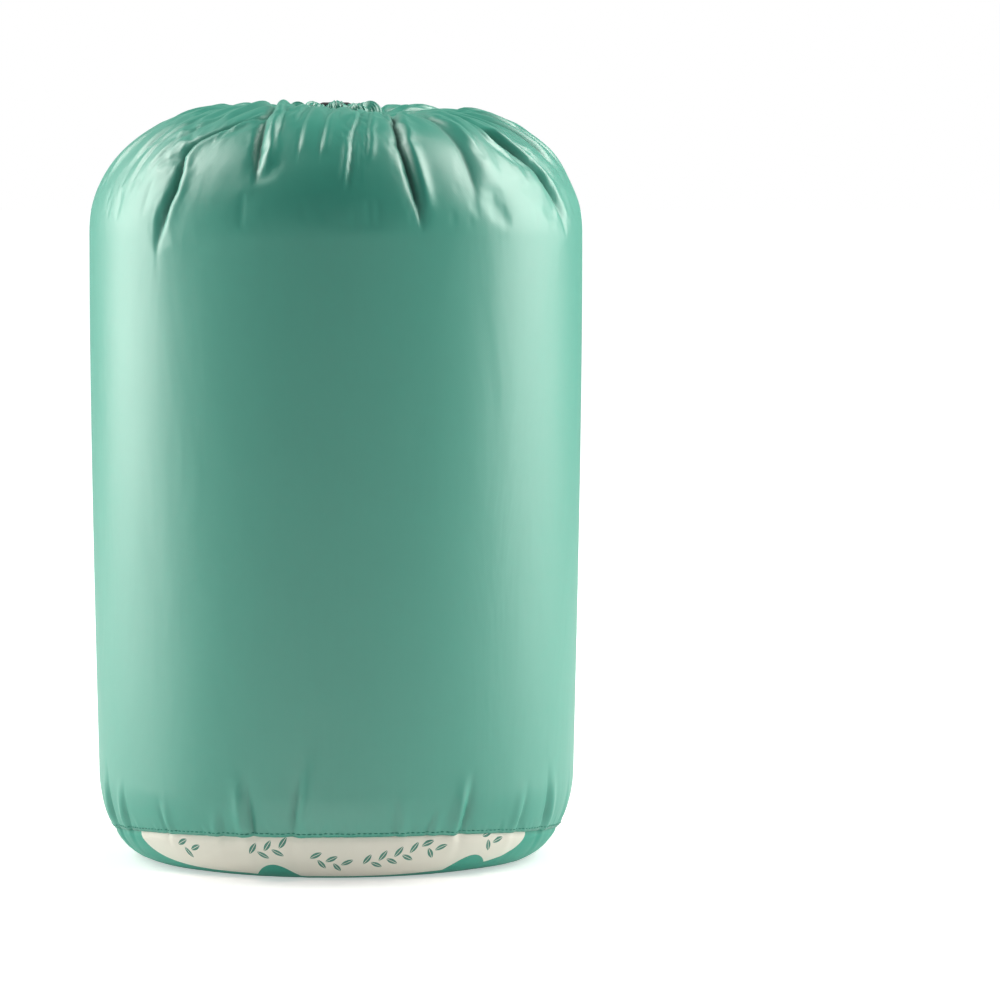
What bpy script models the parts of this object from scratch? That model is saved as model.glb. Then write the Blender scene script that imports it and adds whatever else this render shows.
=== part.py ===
"""A camp blanket packed in its stuff sack: a rolled quilt inside a round drawcord sack that stands on its base.

Metres, +Z up, origin on the ground under the middle of the sack. The drawcord's exit is at the back, +Y.
"""

import math

import bmesh
import bpy
from mathutils import Matrix, Vector

# ---------------------------------------------------------------- driving dimensions
GAP = 0.0003  # between two pieces that touch

# the sack
SACK_RADIUS = 0.125
SACK_HEIGHT = 0.382
CLOTH = 0.0008  # the wall and the base
REST_INSET = 0.035  # the flat patch that it stands on, in from the sack's radius
FOOT_INSET = 0.004  # the top of the rounded foot, in from the sack's radius
FOOT_RISE = 0.045
SHOULDER_RUN = 0.063
SHOULDER_RISE = 0.060
HEM_STAND = 0.0045  # how far the gathered hem stands above the sack's crest

# seams
SEAM_HEIGHT = 0.015  # the bottom seam, over the sack's axis
SEAM_RISE = 0.0066092  # how far its plane rises from the axis to the flat patch's edge at the front
TAPE = 0.0008
BOTTOM_TAPE_WIDTH = 0.010
SIDE_TAPE_WIDTH = 0.011
SIDE_TAPE_MOUTH_MARGIN = 0.010  # from the mouth's edge to the tape's upper end
THREAD = 0.0005
SEAM_THREAD_RISE = 0.0016  # the stitches over the bottom seam
HEM_THREAD_MARGIN = 0.0010  # the stitches out from the mouth's edge

# the mouth
HEM_RADIUS = 0.019
HEM_TUBE_RADIUS = 0.005
TUNNEL_CLEARANCE = 0.0007  # round the cord
TUNNEL_OVERRUN = math.radians(6)  # the tunnel's cutter runs past the hem's open ends
HEM_GAP_ANGLE = math.radians(40)  # the open ends of the tunnel, at the back
CORD_DIAMETER = 0.0024
CORD_BEND = 0.005  # where the cord turns out of the tunnel

# the cord lock, along the cord: x across, y along
STRAND_SPACING = 0.0030
LOCK_Y = 0.0365
LOCK_LIFT = 0.0009  # its underside over the cloth, at its middle
LOCK_SLOPE = math.radians(4.5)
LOCK_WALL = 0.00095  # over and under the plunger
LOCK_SIDE_WALL = 0.00155
LOCK_CLOSED_END = 0.0095  # from the cord's middle to the barrel's closed end
LOCK_OPEN_END = 0.0075
LOCK_ROUNDING = 0.0020
PLUNGER_TRAVEL = 0.0025
PLUNGER_WIDTH = 0.0086
PLUNGER_WALL = 0.00045  # over and under the cord's slot
PLUNGER_CLEARANCE = 0.00015
BUTTON_THICKNESS = 0.0022
BUTTON_ROUNDING = 0.0009
CORD_HOLE_SLACK = 0.0005  # in the hole's height, over the cord's diameter
CORD_HOLE_MARGIN = 0.0003
END_WALL = 0.0011
PLUNGER_WEB = 0.0012
SPRING_RADIUS = 0.0015
SPRING_WIRE = 0.0004
SPRING_TURNS = 3

# the rolled blanket
TURN_PITCH = 0.022  # a turn of the roll: four layers of the folded quilt
CORE_HOLLOW = 0.0008  # from the roll's middle to the strip's inner end
ROLL_END_ANGLE = math.radians(60)  # its outer end lies at the back
SHELL_CLOTH = 0.0008
BINDING_WIDTH = 0.009

# the knot that joins the two tails
KNOT_RADIUS = 0.0042
KNOT_LENGTH = 0.0100
KNOT_ROUNDING = 0.0015
TIP_LENGTH = 0.0120

ROUND_STEPS = 36
ROLL_STEPS = 18  # a turn of the roll
RING_STEPS = 32  # the hem and the cord in it
BEND_STEPS = 4  # each bend of the cord out of the tunnel
COIL_STEPS = 12  # a turn of the lock's spring

# ---------------------------------------------------------------- worked out from them
REST_RADIUS = SACK_RADIUS - REST_INSET
FOOT_RADIUS = SACK_RADIUS - FOOT_INSET
CREST_RADIUS = SACK_RADIUS - SHOULDER_RUN
CREST_Z = SACK_HEIGHT - HEM_STAND
SHOULDER_BASE = CREST_Z - SHOULDER_RISE
HEM_Z = SACK_HEIGHT - HEM_TUBE_RADIUS
HEM_SEAT = (HEM_TUBE_RADIUS + GAP) * math.sqrt(0.5)
MOUTH_RADIUS = HEM_RADIUS + HEM_SEAT
MOUTH_Z = HEM_Z - HEM_SEAT
SEAM_TILT = math.atan2(SEAM_RISE, REST_RADIUS)
TAPE_INSET = CLOTH + GAP
ROLL_INSET = TAPE_INSET + TAPE + GAP
ROLL_CORE = TURN_PITCH / 2 + CORE_HOLLOW  # the middle of the strip at its inner end
ROLL_TURNS = (SACK_RADIUS - ROLL_INSET - TURN_PITCH / 2 - ROLL_CORE) / TURN_PITCH
CORD_RADIUS = CORD_DIAMETER / 2
TUNNEL_RADIUS = CORD_RADIUS + TUNNEL_CLEARANCE
CORD_HOLE_HEIGHT = CORD_DIAMETER + CORD_HOLE_SLACK
PLUNGER_THICKNESS = CORD_HOLE_HEIGHT + 2 * PLUNGER_WALL
LOCK_THICKNESS = PLUNGER_THICKNESS + 2 * (PLUNGER_CLEARANCE + LOCK_WALL)
LOCK_WIDTH = PLUNGER_WIDTH + 2 * (PLUNGER_CLEARANCE + LOCK_SIDE_WALL)
FAR = 1.0  # a cutter's far side, well outside the object

# The tails' route, from the mouth through the lock, over the shoulder and down the back: chosen by hand.
RIGHT_TAIL = [
    (0.0015, 0.0265, 0.3786), (0.0015, 0.0340, 0.3792), (0.0015, 0.0450, 0.3801), (0.0015, 0.0560, 0.3809),
    (0.0016, 0.0650, 0.3815), (0.0024, 0.0750, 0.3802), (0.0036, 0.0860, 0.3761), (0.0052, 0.0970, 0.3697),
    (0.0068, 0.1070, 0.3621), (0.0082, 0.1160, 0.3513), (0.0091, 0.1220, 0.3405), (0.0097, 0.1258, 0.3250),
    (0.0100, 0.1266, 0.3050), (0.0102, 0.1266, 0.2750), (0.0098, 0.1266, 0.2450), (0.0086, 0.1266, 0.2150),
    (0.0068, 0.1265, 0.1850), (0.0048, 0.1264, 0.1550), (0.0031, 0.1261, 0.1300), (0.0019, 0.1257, 0.1120),
    (0.0015, 0.1254, 0.1000),
]
LEFT_TAIL = [
    (-0.0015, 0.0265, 0.3786), (-0.0015, 0.0340, 0.3792), (-0.0015, 0.0450, 0.3801), (-0.0015, 0.0560, 0.3809),
    (-0.0016, 0.0650, 0.3815), (-0.0022, 0.0750, 0.3802), (-0.0032, 0.0860, 0.3761), (-0.0046, 0.0970, 0.3697),
    (-0.0062, 0.1070, 0.3621), (-0.0082, 0.1160, 0.3513), (-0.0104, 0.1220, 0.3405), (-0.0126, 0.1256, 0.3250),
    (-0.0144, 0.1262, 0.3050), (-0.0156, 0.1262, 0.2750), (-0.0150, 0.1262, 0.2450), (-0.0128, 0.1264, 0.2150),
    (-0.0098, 0.1264, 0.1850), (-0.0066, 0.1263, 0.1550), (-0.0038, 0.1261, 0.1300), (-0.0020, 0.1257, 0.1120),
    (-0.0015, 0.1254, 0.1000),
]
TAIL_POINTS = 56


# ---------------------------------------------------------------- scene, collections, materials
def clear_scene():
    for obj in list(bpy.data.objects):
        bpy.data.objects.remove(obj, do_unlink=True)


def new_collection(name):
    collection = bpy.data.collections.new(name)
    bpy.context.scene.collection.children.link(collection)
    return collection


clear_scene()
PIECES = new_collection("packed_camp_blanket")
CUTTERS = new_collection("cutters")


def material(name, colour, roughness, metallic=0.0):
    """A Principled material in one colour."""
    made = bpy.data.materials.new(name)
    made.use_nodes = True
    shader = made.node_tree.nodes["Principled BSDF"]
    shader.inputs["Base Color"].default_value = (*colour, 1.0)
    shader.inputs["Roughness"].default_value = roughness
    shader.inputs["Metallic"].default_value = metallic
    return made


GREEN_TAFFETA = material("green_taffeta", (0.09, 0.34, 0.27), 0.35)
PRINTED_BASE = material("printed_base_cloth", (0.80, 0.76, 0.66), 0.5)
GREEN_THREAD = material("green_thread", (0.07, 0.27, 0.21), 0.6)
SEAM_TAPE = material("seam_tape", (0.06, 0.20, 0.16), 0.7)
BLACK_CORD = material("black_cord", (0.012, 0.012, 0.013), 0.7)
BLACK_PLASTIC = material("black_plastic", (0.015, 0.015, 0.016), 0.4)
SPRING_STEEL = material("spring_steel", (0.55, 0.55, 0.56), 0.3, 1.0)
QUILT_SHELL = material("quilt_shell_cloth", (0.10, 0.36, 0.30), 0.45)
QUILT_LINING = material("quilt_lining_cloth", (0.78, 0.73, 0.62), 0.6)
QUILT_FILL = material("quilt_fill", (0.85, 0.85, 0.83), 0.9)
QUILT_BINDING = material("quilt_binding_tape", (0.05, 0.17, 0.14), 0.6)


def place(obj, collection, finish=None):
    """Puts the object in one collection only, with one material."""
    for other in list(obj.users_collection):
        other.objects.unlink(obj)
    collection.objects.link(obj)
    if finish:
        obj.data.materials.clear()
        obj.data.materials.append(finish)
    return obj


def mesh_object(name, shape, collection=PIECES, finish=None):
    """An object from a bmesh."""
    mesh = bpy.data.meshes.new(name)
    shape.to_mesh(mesh)
    shape.free()
    return place_new(name, mesh, collection, finish)


def place_new(name, data, collection=PIECES, finish=None):
    obj = bpy.data.objects.new(name, data)
    return place(obj, collection, finish)


# ---------------------------------------------------------------- modifiers
def solidify(obj, thickness, offset=-1.0):
    """Thickens a surface: offset -1 grows it inwards, 0 to both sides."""
    made = obj.modifiers.new("Solidify", "SOLIDIFY")
    made.thickness = thickness
    made.offset = offset
    made.use_even_offset = True
    return obj


def turn(obj):
    """Turns the object's outline once about the Z axis."""
    made = obj.modifiers.new("Screw", "SCREW")
    made.axis = "Z"
    made.angle = math.tau
    made.steps = ROUND_STEPS
    made.render_steps = ROUND_STEPS
    made.use_merge_vertices = True
    made.merge_threshold = 0.00001
    return obj


def combine(obj, other, operation):
    made = obj.modifiers.new(operation.title(), "BOOLEAN")
    made.operation = operation
    made.object = other
    return obj


def bevel(obj, width):
    made = obj.modifiers.new("Bevel", "BEVEL")
    made.width = width
    made.segments = 2
    return obj


def as_cutter(obj):
    """A helper that cuts or clips other pieces, and is no piece itself."""
    place(obj, CUTTERS)
    obj.hide_render = True
    obj.display_type = "WIRE"
    return obj


def as_mesh(obj, name, collection=PIECES, finish=None):
    """The evaluated object as a plain mesh object, with a curve's caps welded. The first object is removed."""
    evaluated = obj.evaluated_get(bpy.context.evaluated_depsgraph_get())
    mesh = bpy.data.meshes.new_from_object(evaluated)
    matrix = obj.matrix_world.copy()
    bpy.data.objects.remove(obj, do_unlink=True)
    shape = bmesh.new()
    shape.from_mesh(mesh)
    bmesh.ops.remove_doubles(shape, verts=shape.verts, dist=0.000001)
    bmesh.ops.recalc_face_normals(shape, faces=shape.faces)
    shape.to_mesh(mesh)
    shape.free()
    made = place_new(name, mesh, collection, finish)
    made.matrix_world = matrix
    return made


# ---------------------------------------------------------------- basic shapes
def outline_object(name, points, closed=False, collection=PIECES, finish=None):
    """A thin outline in the XZ plane, from (radius, height) points, ready to be turned."""
    shape = bmesh.new()
    corners = [shape.verts.new((radius, 0, height)) for radius, height in points]
    for first, second in zip(corners, corners[1:]):
        shape.edges.new((first, second))
    if closed:
        shape.edges.new((corners[-1], corners[0]))
    return mesh_object(name, shape, collection, finish)


def box(name, low, high, matrix=None, collection=PIECES, finish=None):
    """A box between two corners, placed by the matrix."""
    low, high = Vector(low), Vector(high)
    shape = bmesh.new()
    bmesh.ops.create_cube(shape, size=1.0)
    size = Matrix.Diagonal((*(high - low), 1.0))
    bmesh.ops.transform(shape, verts=shape.verts, matrix=Matrix.Translation((low + high) / 2) @ size)
    made = mesh_object(name, shape, collection, finish)
    if matrix is not None:
        made.matrix_world = matrix
    return made


def smooth_points(route, count):
    """Points evenly spread along a smooth curve through the route's own points."""
    guide = bpy.data.curves.new("guide", "CURVE")
    guide.dimensions = "3D"
    guide.resolution_u = 24
    spline = guide.splines.new("BEZIER")
    spline.bezier_points.add(len(route) - 1)
    for knot, place_at in zip(spline.bezier_points, route):
        knot.co = place_at
        knot.handle_left_type = knot.handle_right_type = "AUTO"
    obj = place_new("guide", guide, CUTTERS)
    evaluated = obj.evaluated_get(bpy.context.evaluated_depsgraph_get())
    fine = [vertex.co.copy() for vertex in evaluated.to_mesh().vertices]
    evaluated.to_mesh_clear()
    bpy.data.objects.remove(obj, do_unlink=True)
    bpy.data.curves.remove(guide)
    travelled = [0.0]
    for first, second in zip(fine, fine[1:]):
        travelled.append(travelled[-1] + (second - first).length)
    points, at = [], 0
    for index in range(count):
        target = travelled[-1] * index / (count - 1)
        while at < len(fine) - 2 and travelled[at + 1] < target:
            at += 1
        share = (target - travelled[at]) / (travelled[at + 1] - travelled[at])
        points.append(fine[at].lerp(fine[at + 1], min(1.0, share)))
    return points


def tube(name, points, radius, finish=None, resolution=2):
    """A round tube along the points."""
    curve = bpy.data.curves.new(name, "CURVE")
    curve.dimensions = "3D"
    curve.bevel_depth = radius
    curve.bevel_resolution = resolution
    curve.use_fill_caps = True
    spline = curve.splines.new("POLY")
    spline.points.add(len(points) - 1)
    for knot, place_at in zip(spline.points, points):
        knot.co = (*place_at, 1.0)
    return place_new(name, curve, PIECES, finish)


# ---------------------------------------------------------------- the sack's outer skin
def ellipse_arc(centre, across, up, start, end, count):
    """Points of an ellipse from one angle to another, both ends included."""
    angles = [start + (end - start) * step / count for step in range(count + 1)]
    return [(centre[0] + across * math.cos(a), centre[1] + up * math.sin(a)) for a in angles]


def top_height(radius):
    """The skin's height between the mouth's edge and the crest, where it is level."""
    share = (radius - MOUTH_RADIUS) / (CREST_RADIUS - MOUTH_RADIUS)
    return MOUTH_Z + (CREST_Z - MOUTH_Z) * math.sin(share * math.pi / 2)


def top_outline(count=4):
    """From the mouth's edge up to the crest."""
    radii = [MOUTH_RADIUS + (CREST_RADIUS - MOUTH_RADIUS) * step / count for step in range(count)]
    return [(radius, top_height(radius)) for radius in radii]


def side_outline(count=4):
    """The side, which draws in a little from the shoulder to the foot."""
    height = SHOULDER_BASE - FOOT_RISE
    shares = [step / count for step in range(1, count)]
    return [(SACK_RADIUS - FOOT_INSET * share**2, SHOULDER_BASE - height * share) for share in shares]


def skin_outline():
    """The outer skin from the mouth's edge to the middle of the base."""
    quarter = math.pi / 2
    shoulder = ellipse_arc((CREST_RADIUS, SHOULDER_BASE), SHOULDER_RUN, SHOULDER_RISE, quarter, 0, 7)
    foot_run = FOOT_RADIUS - REST_RADIUS
    foot = ellipse_arc((REST_RADIUS, FOOT_RISE), foot_run, FOOT_RISE, 0, -quarter, 6)
    return top_outline() + shoulder + side_outline() + foot


def inset_outline(points, inset):
    """The outline moved inwards by the inset, square to itself."""
    moved = []
    for index, (radius, height) in enumerate(points):
        before = Vector(points[max(index - 1, 0)])
        after = Vector(points[min(index + 1, len(points) - 1)])
        along = (after - before).normalized()
        moved.append((radius + inset * along.y, height - inset * along.x))
    return moved


def turned_layer(name, inset, thickness, finish=None):
    """A layer of cloth that follows the sack's skin, this far inside it."""
    points = inset_outline(skin_outline(), inset) + [(0.0, inset)]
    layer = outline_object(name, points, finish=finish)
    return solidify(turn(layer), thickness)


def seam_frame():
    """The plane of the bottom seam: its own X and Y lie in it."""
    return Matrix.Translation((0, 0, SEAM_HEIGHT)) @ Matrix.Rotation(-SEAM_TILT, 4, "X")


def seam_slab(name, low, high):
    """A cutter that keeps what lies between two heights over the seam's plane."""
    return as_cutter(box(name, (-FAR, -FAR, low), (FAR, FAR, high), seam_frame()))


def sack():
    wall = turned_layer("sack_wall", 0, CLOTH, GREEN_TAFFETA)
    combine(wall, seam_slab("above_seam", GAP / 2, FAR), "INTERSECT")

    base = turned_layer("bottom_panel", 0, CLOTH, PRINTED_BASE)
    combine(base, seam_slab("below_seam", -FAR, -GAP / 2), "INTERSECT")

    tape = turned_layer("bottom_seam_tape", TAPE_INSET, TAPE, SEAM_TAPE)
    half = BOTTOM_TAPE_WIDTH / 2
    combine(tape, seam_slab("bottom_tape_width", -half, half), "INTERSECT")

    thread = turned_layer("bottom_seam_thread", -GAP - THREAD, THREAD, GREEN_THREAD)
    combine(thread, seam_slab("seam_thread_width", SEAM_THREAD_RISE, SEAM_THREAD_RISE + THREAD), "INTERSECT")


def side_seam():
    """The felled allowance of the side seam: a strip inside the wall at the back, from bottom tape to mouth."""
    tape = turned_layer("side_seam_tape", TAPE_INSET, TAPE, SEAM_TAPE)
    above = seam_slab("side_tape_foot", BOTTOM_TAPE_WIDTH / 2 + GAP, FAR)
    combine(tape, above, "INTERSECT")
    half = SIDE_TAPE_WIDTH / 2
    inner = MOUTH_RADIUS + SIDE_TAPE_MOUTH_MARGIN
    strip = as_cutter(box("side_tape_width", (-half, inner, 0), (half, FAR, FAR)))
    combine(tape, strip, "INTERSECT")


# ---------------------------------------------------------------- the mouth
def ring_points(start, end, count, radius=HEM_RADIUS, height=HEM_Z):
    angles = [start + (end - start) * step / count for step in range(count + 1)]
    return [Vector((radius * math.cos(a), radius * math.sin(a), height)) for a in angles]


def mouth_hem():
    """The gathered tunnel: a ring of tube, open at its two ends, at the back."""
    back = math.pi / 2
    start, end = back + HEM_GAP_ANGLE / 2, back + math.tau - HEM_GAP_ANGLE / 2
    outside = tube("hem_outside", ring_points(start, end, RING_STEPS), HEM_TUBE_RADIUS)
    hem = as_mesh(outside, "mouth_hem", finish=GREEN_TAFFETA)
    along = ring_points(start - TUNNEL_OVERRUN, end + TUNNEL_OVERRUN, RING_STEPS)
    inside = tube("hem_inside", along, TUNNEL_RADIUS, resolution=1)
    combine(hem, as_cutter(as_mesh(inside, "hem_tunnel")), "DIFFERENCE")


def hem_thread():
    """The stitch line that closes the tunnel, where the hem meets the gathered top."""
    low, high = GAP, GAP + THREAD
    inner = MOUTH_RADIUS + HEM_THREAD_MARGIN
    slope = (CREST_Z - MOUTH_Z) * math.pi / 2 / (CREST_RADIUS - MOUTH_RADIUS)
    corners = [(inner, high), (inner + THREAD, high), (inner + THREAD, low), (inner, low)]
    points = [(radius, MOUTH_Z + rise + slope * (radius - MOUTH_RADIUS)) for radius, rise in corners]
    turn(outline_object("hem_thread", points, closed=True, finish=GREEN_THREAD))


def loop_end(side):
    """Where one strand turns out of the tunnel: from the ring round a bend to the exit, for side +1 or -1."""
    offset = STRAND_SPACING / 2 + CORD_BEND
    centre_y = math.sqrt((HEM_RADIUS + CORD_BEND) ** 2 - offset**2)
    touch = math.atan2(centre_y, offset)
    exit_y, exit_z = RIGHT_TAIL[0][1] - GAP, RIGHT_TAIL[0][2]
    points = []
    for step in range(1, BEND_STEPS + 1):
        angle = math.pi + touch * (1 - step / BEND_STEPS)
        share = step / (BEND_STEPS + 1)
        x = offset + CORD_BEND * math.cos(angle)
        y = centre_y + CORD_BEND * math.sin(angle)
        points.append(Vector((side * x, y, HEM_Z + (exit_z - HEM_Z) * share)))
    points.append(Vector((side * STRAND_SPACING / 2, exit_y, exit_z)))
    return touch, points


def drawcord():
    """One cord in three stretches: the loop in the tunnel and the two tails."""
    touch, right_end = loop_end(1)
    left_end = loop_end(-1)[1]
    ring = ring_points(touch, -math.pi - touch, RING_STEPS)
    tube("drawcord_loop", right_end[::-1] + ring + left_end, CORD_RADIUS, BLACK_CORD)
    for name, route in (("drawcord_tail_right", RIGHT_TAIL), ("drawcord_tail_left", LEFT_TAIL)):
        tube(name, smooth_points(route, TAIL_POINTS), CORD_RADIUS, BLACK_CORD)


def end_knot():
    """The overhand knot that joins the tails, with the cut tips below it, as one pulled-tight lump."""
    x, y, top = 0.0, RIGHT_TAIL[-1][1], RIGHT_TAIL[-1][2] - GAP
    y += KNOT_RADIUS - CORD_RADIUS - GAP
    bpy.ops.mesh.primitive_cylinder_add(
        vertices=16, radius=KNOT_RADIUS, depth=KNOT_LENGTH, location=(x, y, top - KNOT_LENGTH / 2)
    )
    knot = bpy.context.object
    knot.name = "drawcord_end_knot"
    place(knot, PIECES, BLACK_CORD)
    bevel(knot, KNOT_ROUNDING)
    for side in (-1, 1):
        below = top - KNOT_LENGTH
        start = Vector((side * STRAND_SPACING / 2, y, below + CORD_DIAMETER))
        end = Vector((side * STRAND_SPACING, y, below - TIP_LENGTH))
        tip = as_mesh(tube("tip", [start, start.lerp(end, 0.5), end], CORD_RADIUS), f"cord_tip{side:+d}")
        combine(knot, as_cutter(tip), "UNION")


# ---------------------------------------------------------------- the cord lock
def lock_frame():
    """The lock's own frame: X along the plunger, Y along the cord, Z up off the sack."""
    centre = Vector((0, LOCK_Y, top_height(LOCK_Y) + LOCK_LIFT + LOCK_THICKNESS / 2))
    return Matrix.Translation(centre) @ Matrix.Rotation(LOCK_SLOPE, 4, "X")


def lock_box(name, low, high, finish=None):
    return box(name, low, high, lock_frame(), PIECES, finish)


def cord_lock():
    half_width, half_thick = LOCK_WIDTH / 2, LOCK_THICKNESS / 2
    strands = STRAND_SPACING / 2 + CORD_RADIUS + CORD_HOLE_MARGIN
    bore_half = PLUNGER_THICKNESS / 2 + PLUNGER_CLEARANCE
    bore_width = PLUNGER_WIDTH / 2 + PLUNGER_CLEARANCE
    bore_bottom = -LOCK_CLOSED_END + END_WALL

    barrel_low = (-LOCK_CLOSED_END, -half_width, -half_thick)
    barrel_high = (LOCK_OPEN_END, half_width, half_thick)
    barrel = bevel(lock_box("cord_lock_barrel", barrel_low, barrel_high, BLACK_PLASTIC), LOCK_ROUNDING)
    bore_low = (bore_bottom, -bore_width, -bore_half)
    bore = lock_box("lock_bore", bore_low, (LOCK_OPEN_END + LOCK_WIDTH, bore_width, bore_half))
    combine(barrel, as_cutter(bore), "DIFFERENCE")
    hole_low = (-strands, -LOCK_WIDTH, -CORD_HOLE_HEIGHT / 2)
    hole = lock_box("lock_cord_hole", hole_low, (strands, LOCK_WIDTH, CORD_HOLE_HEIGHT / 2))
    combine(barrel, as_cutter(hole), "DIFFERENCE")

    inner_end = -strands - PLUNGER_WEB
    button_low_x = LOCK_OPEN_END + PLUNGER_TRAVEL + GAP
    half_plunger = PLUNGER_WIDTH / 2
    stem_low = (inner_end, -half_plunger, -PLUNGER_THICKNESS / 2)
    stem_high = (button_low_x + BUTTON_THICKNESS / 2, half_plunger, PLUNGER_THICKNESS / 2)
    plunger = lock_box("cord_lock_plunger", stem_low, stem_high, BLACK_PLASTIC)
    button_low = (button_low_x, -half_width + GAP, -half_thick + GAP)
    button_high = (button_low_x + BUTTON_THICKNESS, half_width - GAP, half_thick - GAP)
    button = bevel(lock_box("lock_button", button_low, button_high), BUTTON_ROUNDING)
    combine(plunger, as_cutter(button), "UNION")
    slot_low = (-strands, -LOCK_WIDTH, -CORD_HOLE_HEIGHT / 2)
    slot_high = (strands + PLUNGER_TRAVEL, LOCK_WIDTH, CORD_HOLE_HEIGHT / 2)
    combine(plunger, as_cutter(lock_box("plunger_slot", slot_low, slot_high)), "DIFFERENCE")

    spring_start = bore_bottom + GAP + SPRING_WIRE / 2
    spring_end = inner_end - GAP - SPRING_WIRE / 2
    count = SPRING_TURNS * COIL_STEPS
    coil = []
    for step in range(count + 1):
        angle = math.tau * step / COIL_STEPS
        x = spring_start + (spring_end - spring_start) * step / count
        place_at = Vector((x, SPRING_RADIUS * math.cos(angle), SPRING_RADIUS * math.sin(angle)))
        coil.append(lock_frame() @ place_at)
    tube("cord_lock_spring", coil, SPRING_WIRE / 2, SPRING_STEEL, resolution=1)


# ---------------------------------------------------------------- the rolled blanket
def roll_stations(first_turn, last_turn):
    """Turns at which the roll has corners: the same directions in every turn, so that its layers nest."""
    inner = range(math.floor(first_turn * ROLL_STEPS) + 1, math.ceil(last_turn * ROLL_STEPS))
    return [first_turn] + [step / ROLL_STEPS for step in inner] + [last_turn]


def roll_strip(name, offset, thickness, low, high, first_turn, last_turn, finish=None):
    """A strip on edge, wound in the roll's spiral, this far out from the spiral's middle line."""
    shape = bmesh.new()
    rows = []
    for turns in roll_stations(first_turn, last_turn):
        angle = ROLL_END_ANGLE + math.tau * (turns - ROLL_TURNS)
        middle = ROLL_CORE + TURN_PITCH * turns + offset
        inner, outer = middle - thickness / 2, middle + thickness / 2
        corners = ((outer, high), (outer, low), (inner, low), (inner, high))
        rows.append([shape.verts.new((r * math.cos(angle), r * math.sin(angle), z)) for r, z in corners])
    for before, after in zip(rows, rows[1:]):
        for side in range(4):
            other = (side + 1) % 4
            shape.faces.new((before[side], before[other], after[other], after[side]))
    shape.faces.new(rows[0][::-1])
    shape.faces.new(rows[-1])
    bmesh.ops.recalc_face_normals(shape, faces=shape.faces)
    return mesh_object(name, shape, PIECES, finish)


def roll_space():
    """The space inside the sack that the roll fills: its cloth is squeezed to this shape at foot and shoulder."""
    outline = inset_outline(skin_outline(), ROLL_INSET)
    outline[-1] = (outline[-1][0], TAPE_INSET)
    points = [(0.0, outline[0][1])] + outline + [(0.0, TAPE_INSET)]
    return as_cutter(turn(outline_object("roll_space", points)))


def blanket():
    """The quilt's shell, fill and lining as one rolled strip, and the binding along its lower edges and outer end."""
    space = roll_space()
    fill = TURN_PITCH - 2 * (GAP + SHELL_CLOTH) - GAP
    cloth_offset = fill / 2 + GAP + SHELL_CLOTH / 2
    binding_turns = BINDING_WIDTH / (math.tau * SACK_RADIUS)
    last = ROLL_TURNS - binding_turns - GAP / SACK_RADIUS
    binding_top = TAPE_INSET + BINDING_WIDTH
    layers = (
        ("blanket_fill", 0.0, fill, QUILT_FILL),
        ("blanket_shell", cloth_offset, SHELL_CLOTH, QUILT_SHELL),
        ("blanket_lining", -cloth_offset, SHELL_CLOTH, QUILT_LINING),
    )
    for name, offset, thickness, finish in layers:
        strip = roll_strip(name, offset, thickness, binding_top + GAP, SACK_HEIGHT, 0.0, last, finish)
        combine(strip, space, "INTERSECT")
    width = TURN_PITCH - GAP
    binding = roll_strip(
        "blanket_edge_binding", 0.0, width, 0.0, binding_top, 0.0, ROLL_TURNS, QUILT_BINDING
    )
    end = roll_strip("binding_end", 0.0, width, 0.0, SACK_HEIGHT, ROLL_TURNS - binding_turns, ROLL_TURNS)
    combine(binding, as_cutter(end), "UNION")
    combine(binding, space, "INTERSECT")


def shade_round(names):
    """Round pieces drawn smooth, with their edges sharp."""
    for name in names:
        mesh = bpy.data.objects[name].data
        if isinstance(mesh, bpy.types.Mesh):
            mesh.shade_smooth()
            mesh.set_sharp_from_angle(angle=math.radians(40))


sack()
side_seam()
mouth_hem()
hem_thread()
drawcord()
end_knot()
cord_lock()
blanket()
shade_round(["mouth_hem", "drawcord_end_knot"])
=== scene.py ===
# %% [markdown]
# # A camp blanket, packed in its drawcord sack
# A quilted blanket is rolled up and pushed into a round sack of shiny nylon taffeta. The sack's mouth is
# drawn shut by a cord in a sewn tunnel, a sprung lock holds the cord, and both ends of it hang down the
# back, tied in a knot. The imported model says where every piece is. This script makes the soft pieces again
# as real cloth and cord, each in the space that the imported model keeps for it, and gives every piece its
# finish.

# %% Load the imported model
import math

import bmesh
import bpy
import numpy as np
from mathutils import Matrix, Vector


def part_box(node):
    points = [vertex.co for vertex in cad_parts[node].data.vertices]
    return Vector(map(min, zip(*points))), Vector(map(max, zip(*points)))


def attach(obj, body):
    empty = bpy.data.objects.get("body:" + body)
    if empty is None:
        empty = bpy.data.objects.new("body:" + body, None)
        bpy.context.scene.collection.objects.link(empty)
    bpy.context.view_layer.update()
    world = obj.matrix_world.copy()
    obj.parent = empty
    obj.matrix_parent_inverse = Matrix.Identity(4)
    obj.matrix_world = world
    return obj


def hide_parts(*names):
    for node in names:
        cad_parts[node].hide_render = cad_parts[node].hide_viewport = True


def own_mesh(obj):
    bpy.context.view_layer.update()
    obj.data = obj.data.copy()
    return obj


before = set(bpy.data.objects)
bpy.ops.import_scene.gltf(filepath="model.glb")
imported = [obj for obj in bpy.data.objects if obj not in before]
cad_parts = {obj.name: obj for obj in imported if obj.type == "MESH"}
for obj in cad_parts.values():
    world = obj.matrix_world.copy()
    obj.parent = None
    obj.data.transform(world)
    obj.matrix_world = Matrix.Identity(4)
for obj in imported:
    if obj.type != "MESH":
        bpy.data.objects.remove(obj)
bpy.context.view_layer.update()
sack_body, lock_body = "packed_sack", "cord_lock"

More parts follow.
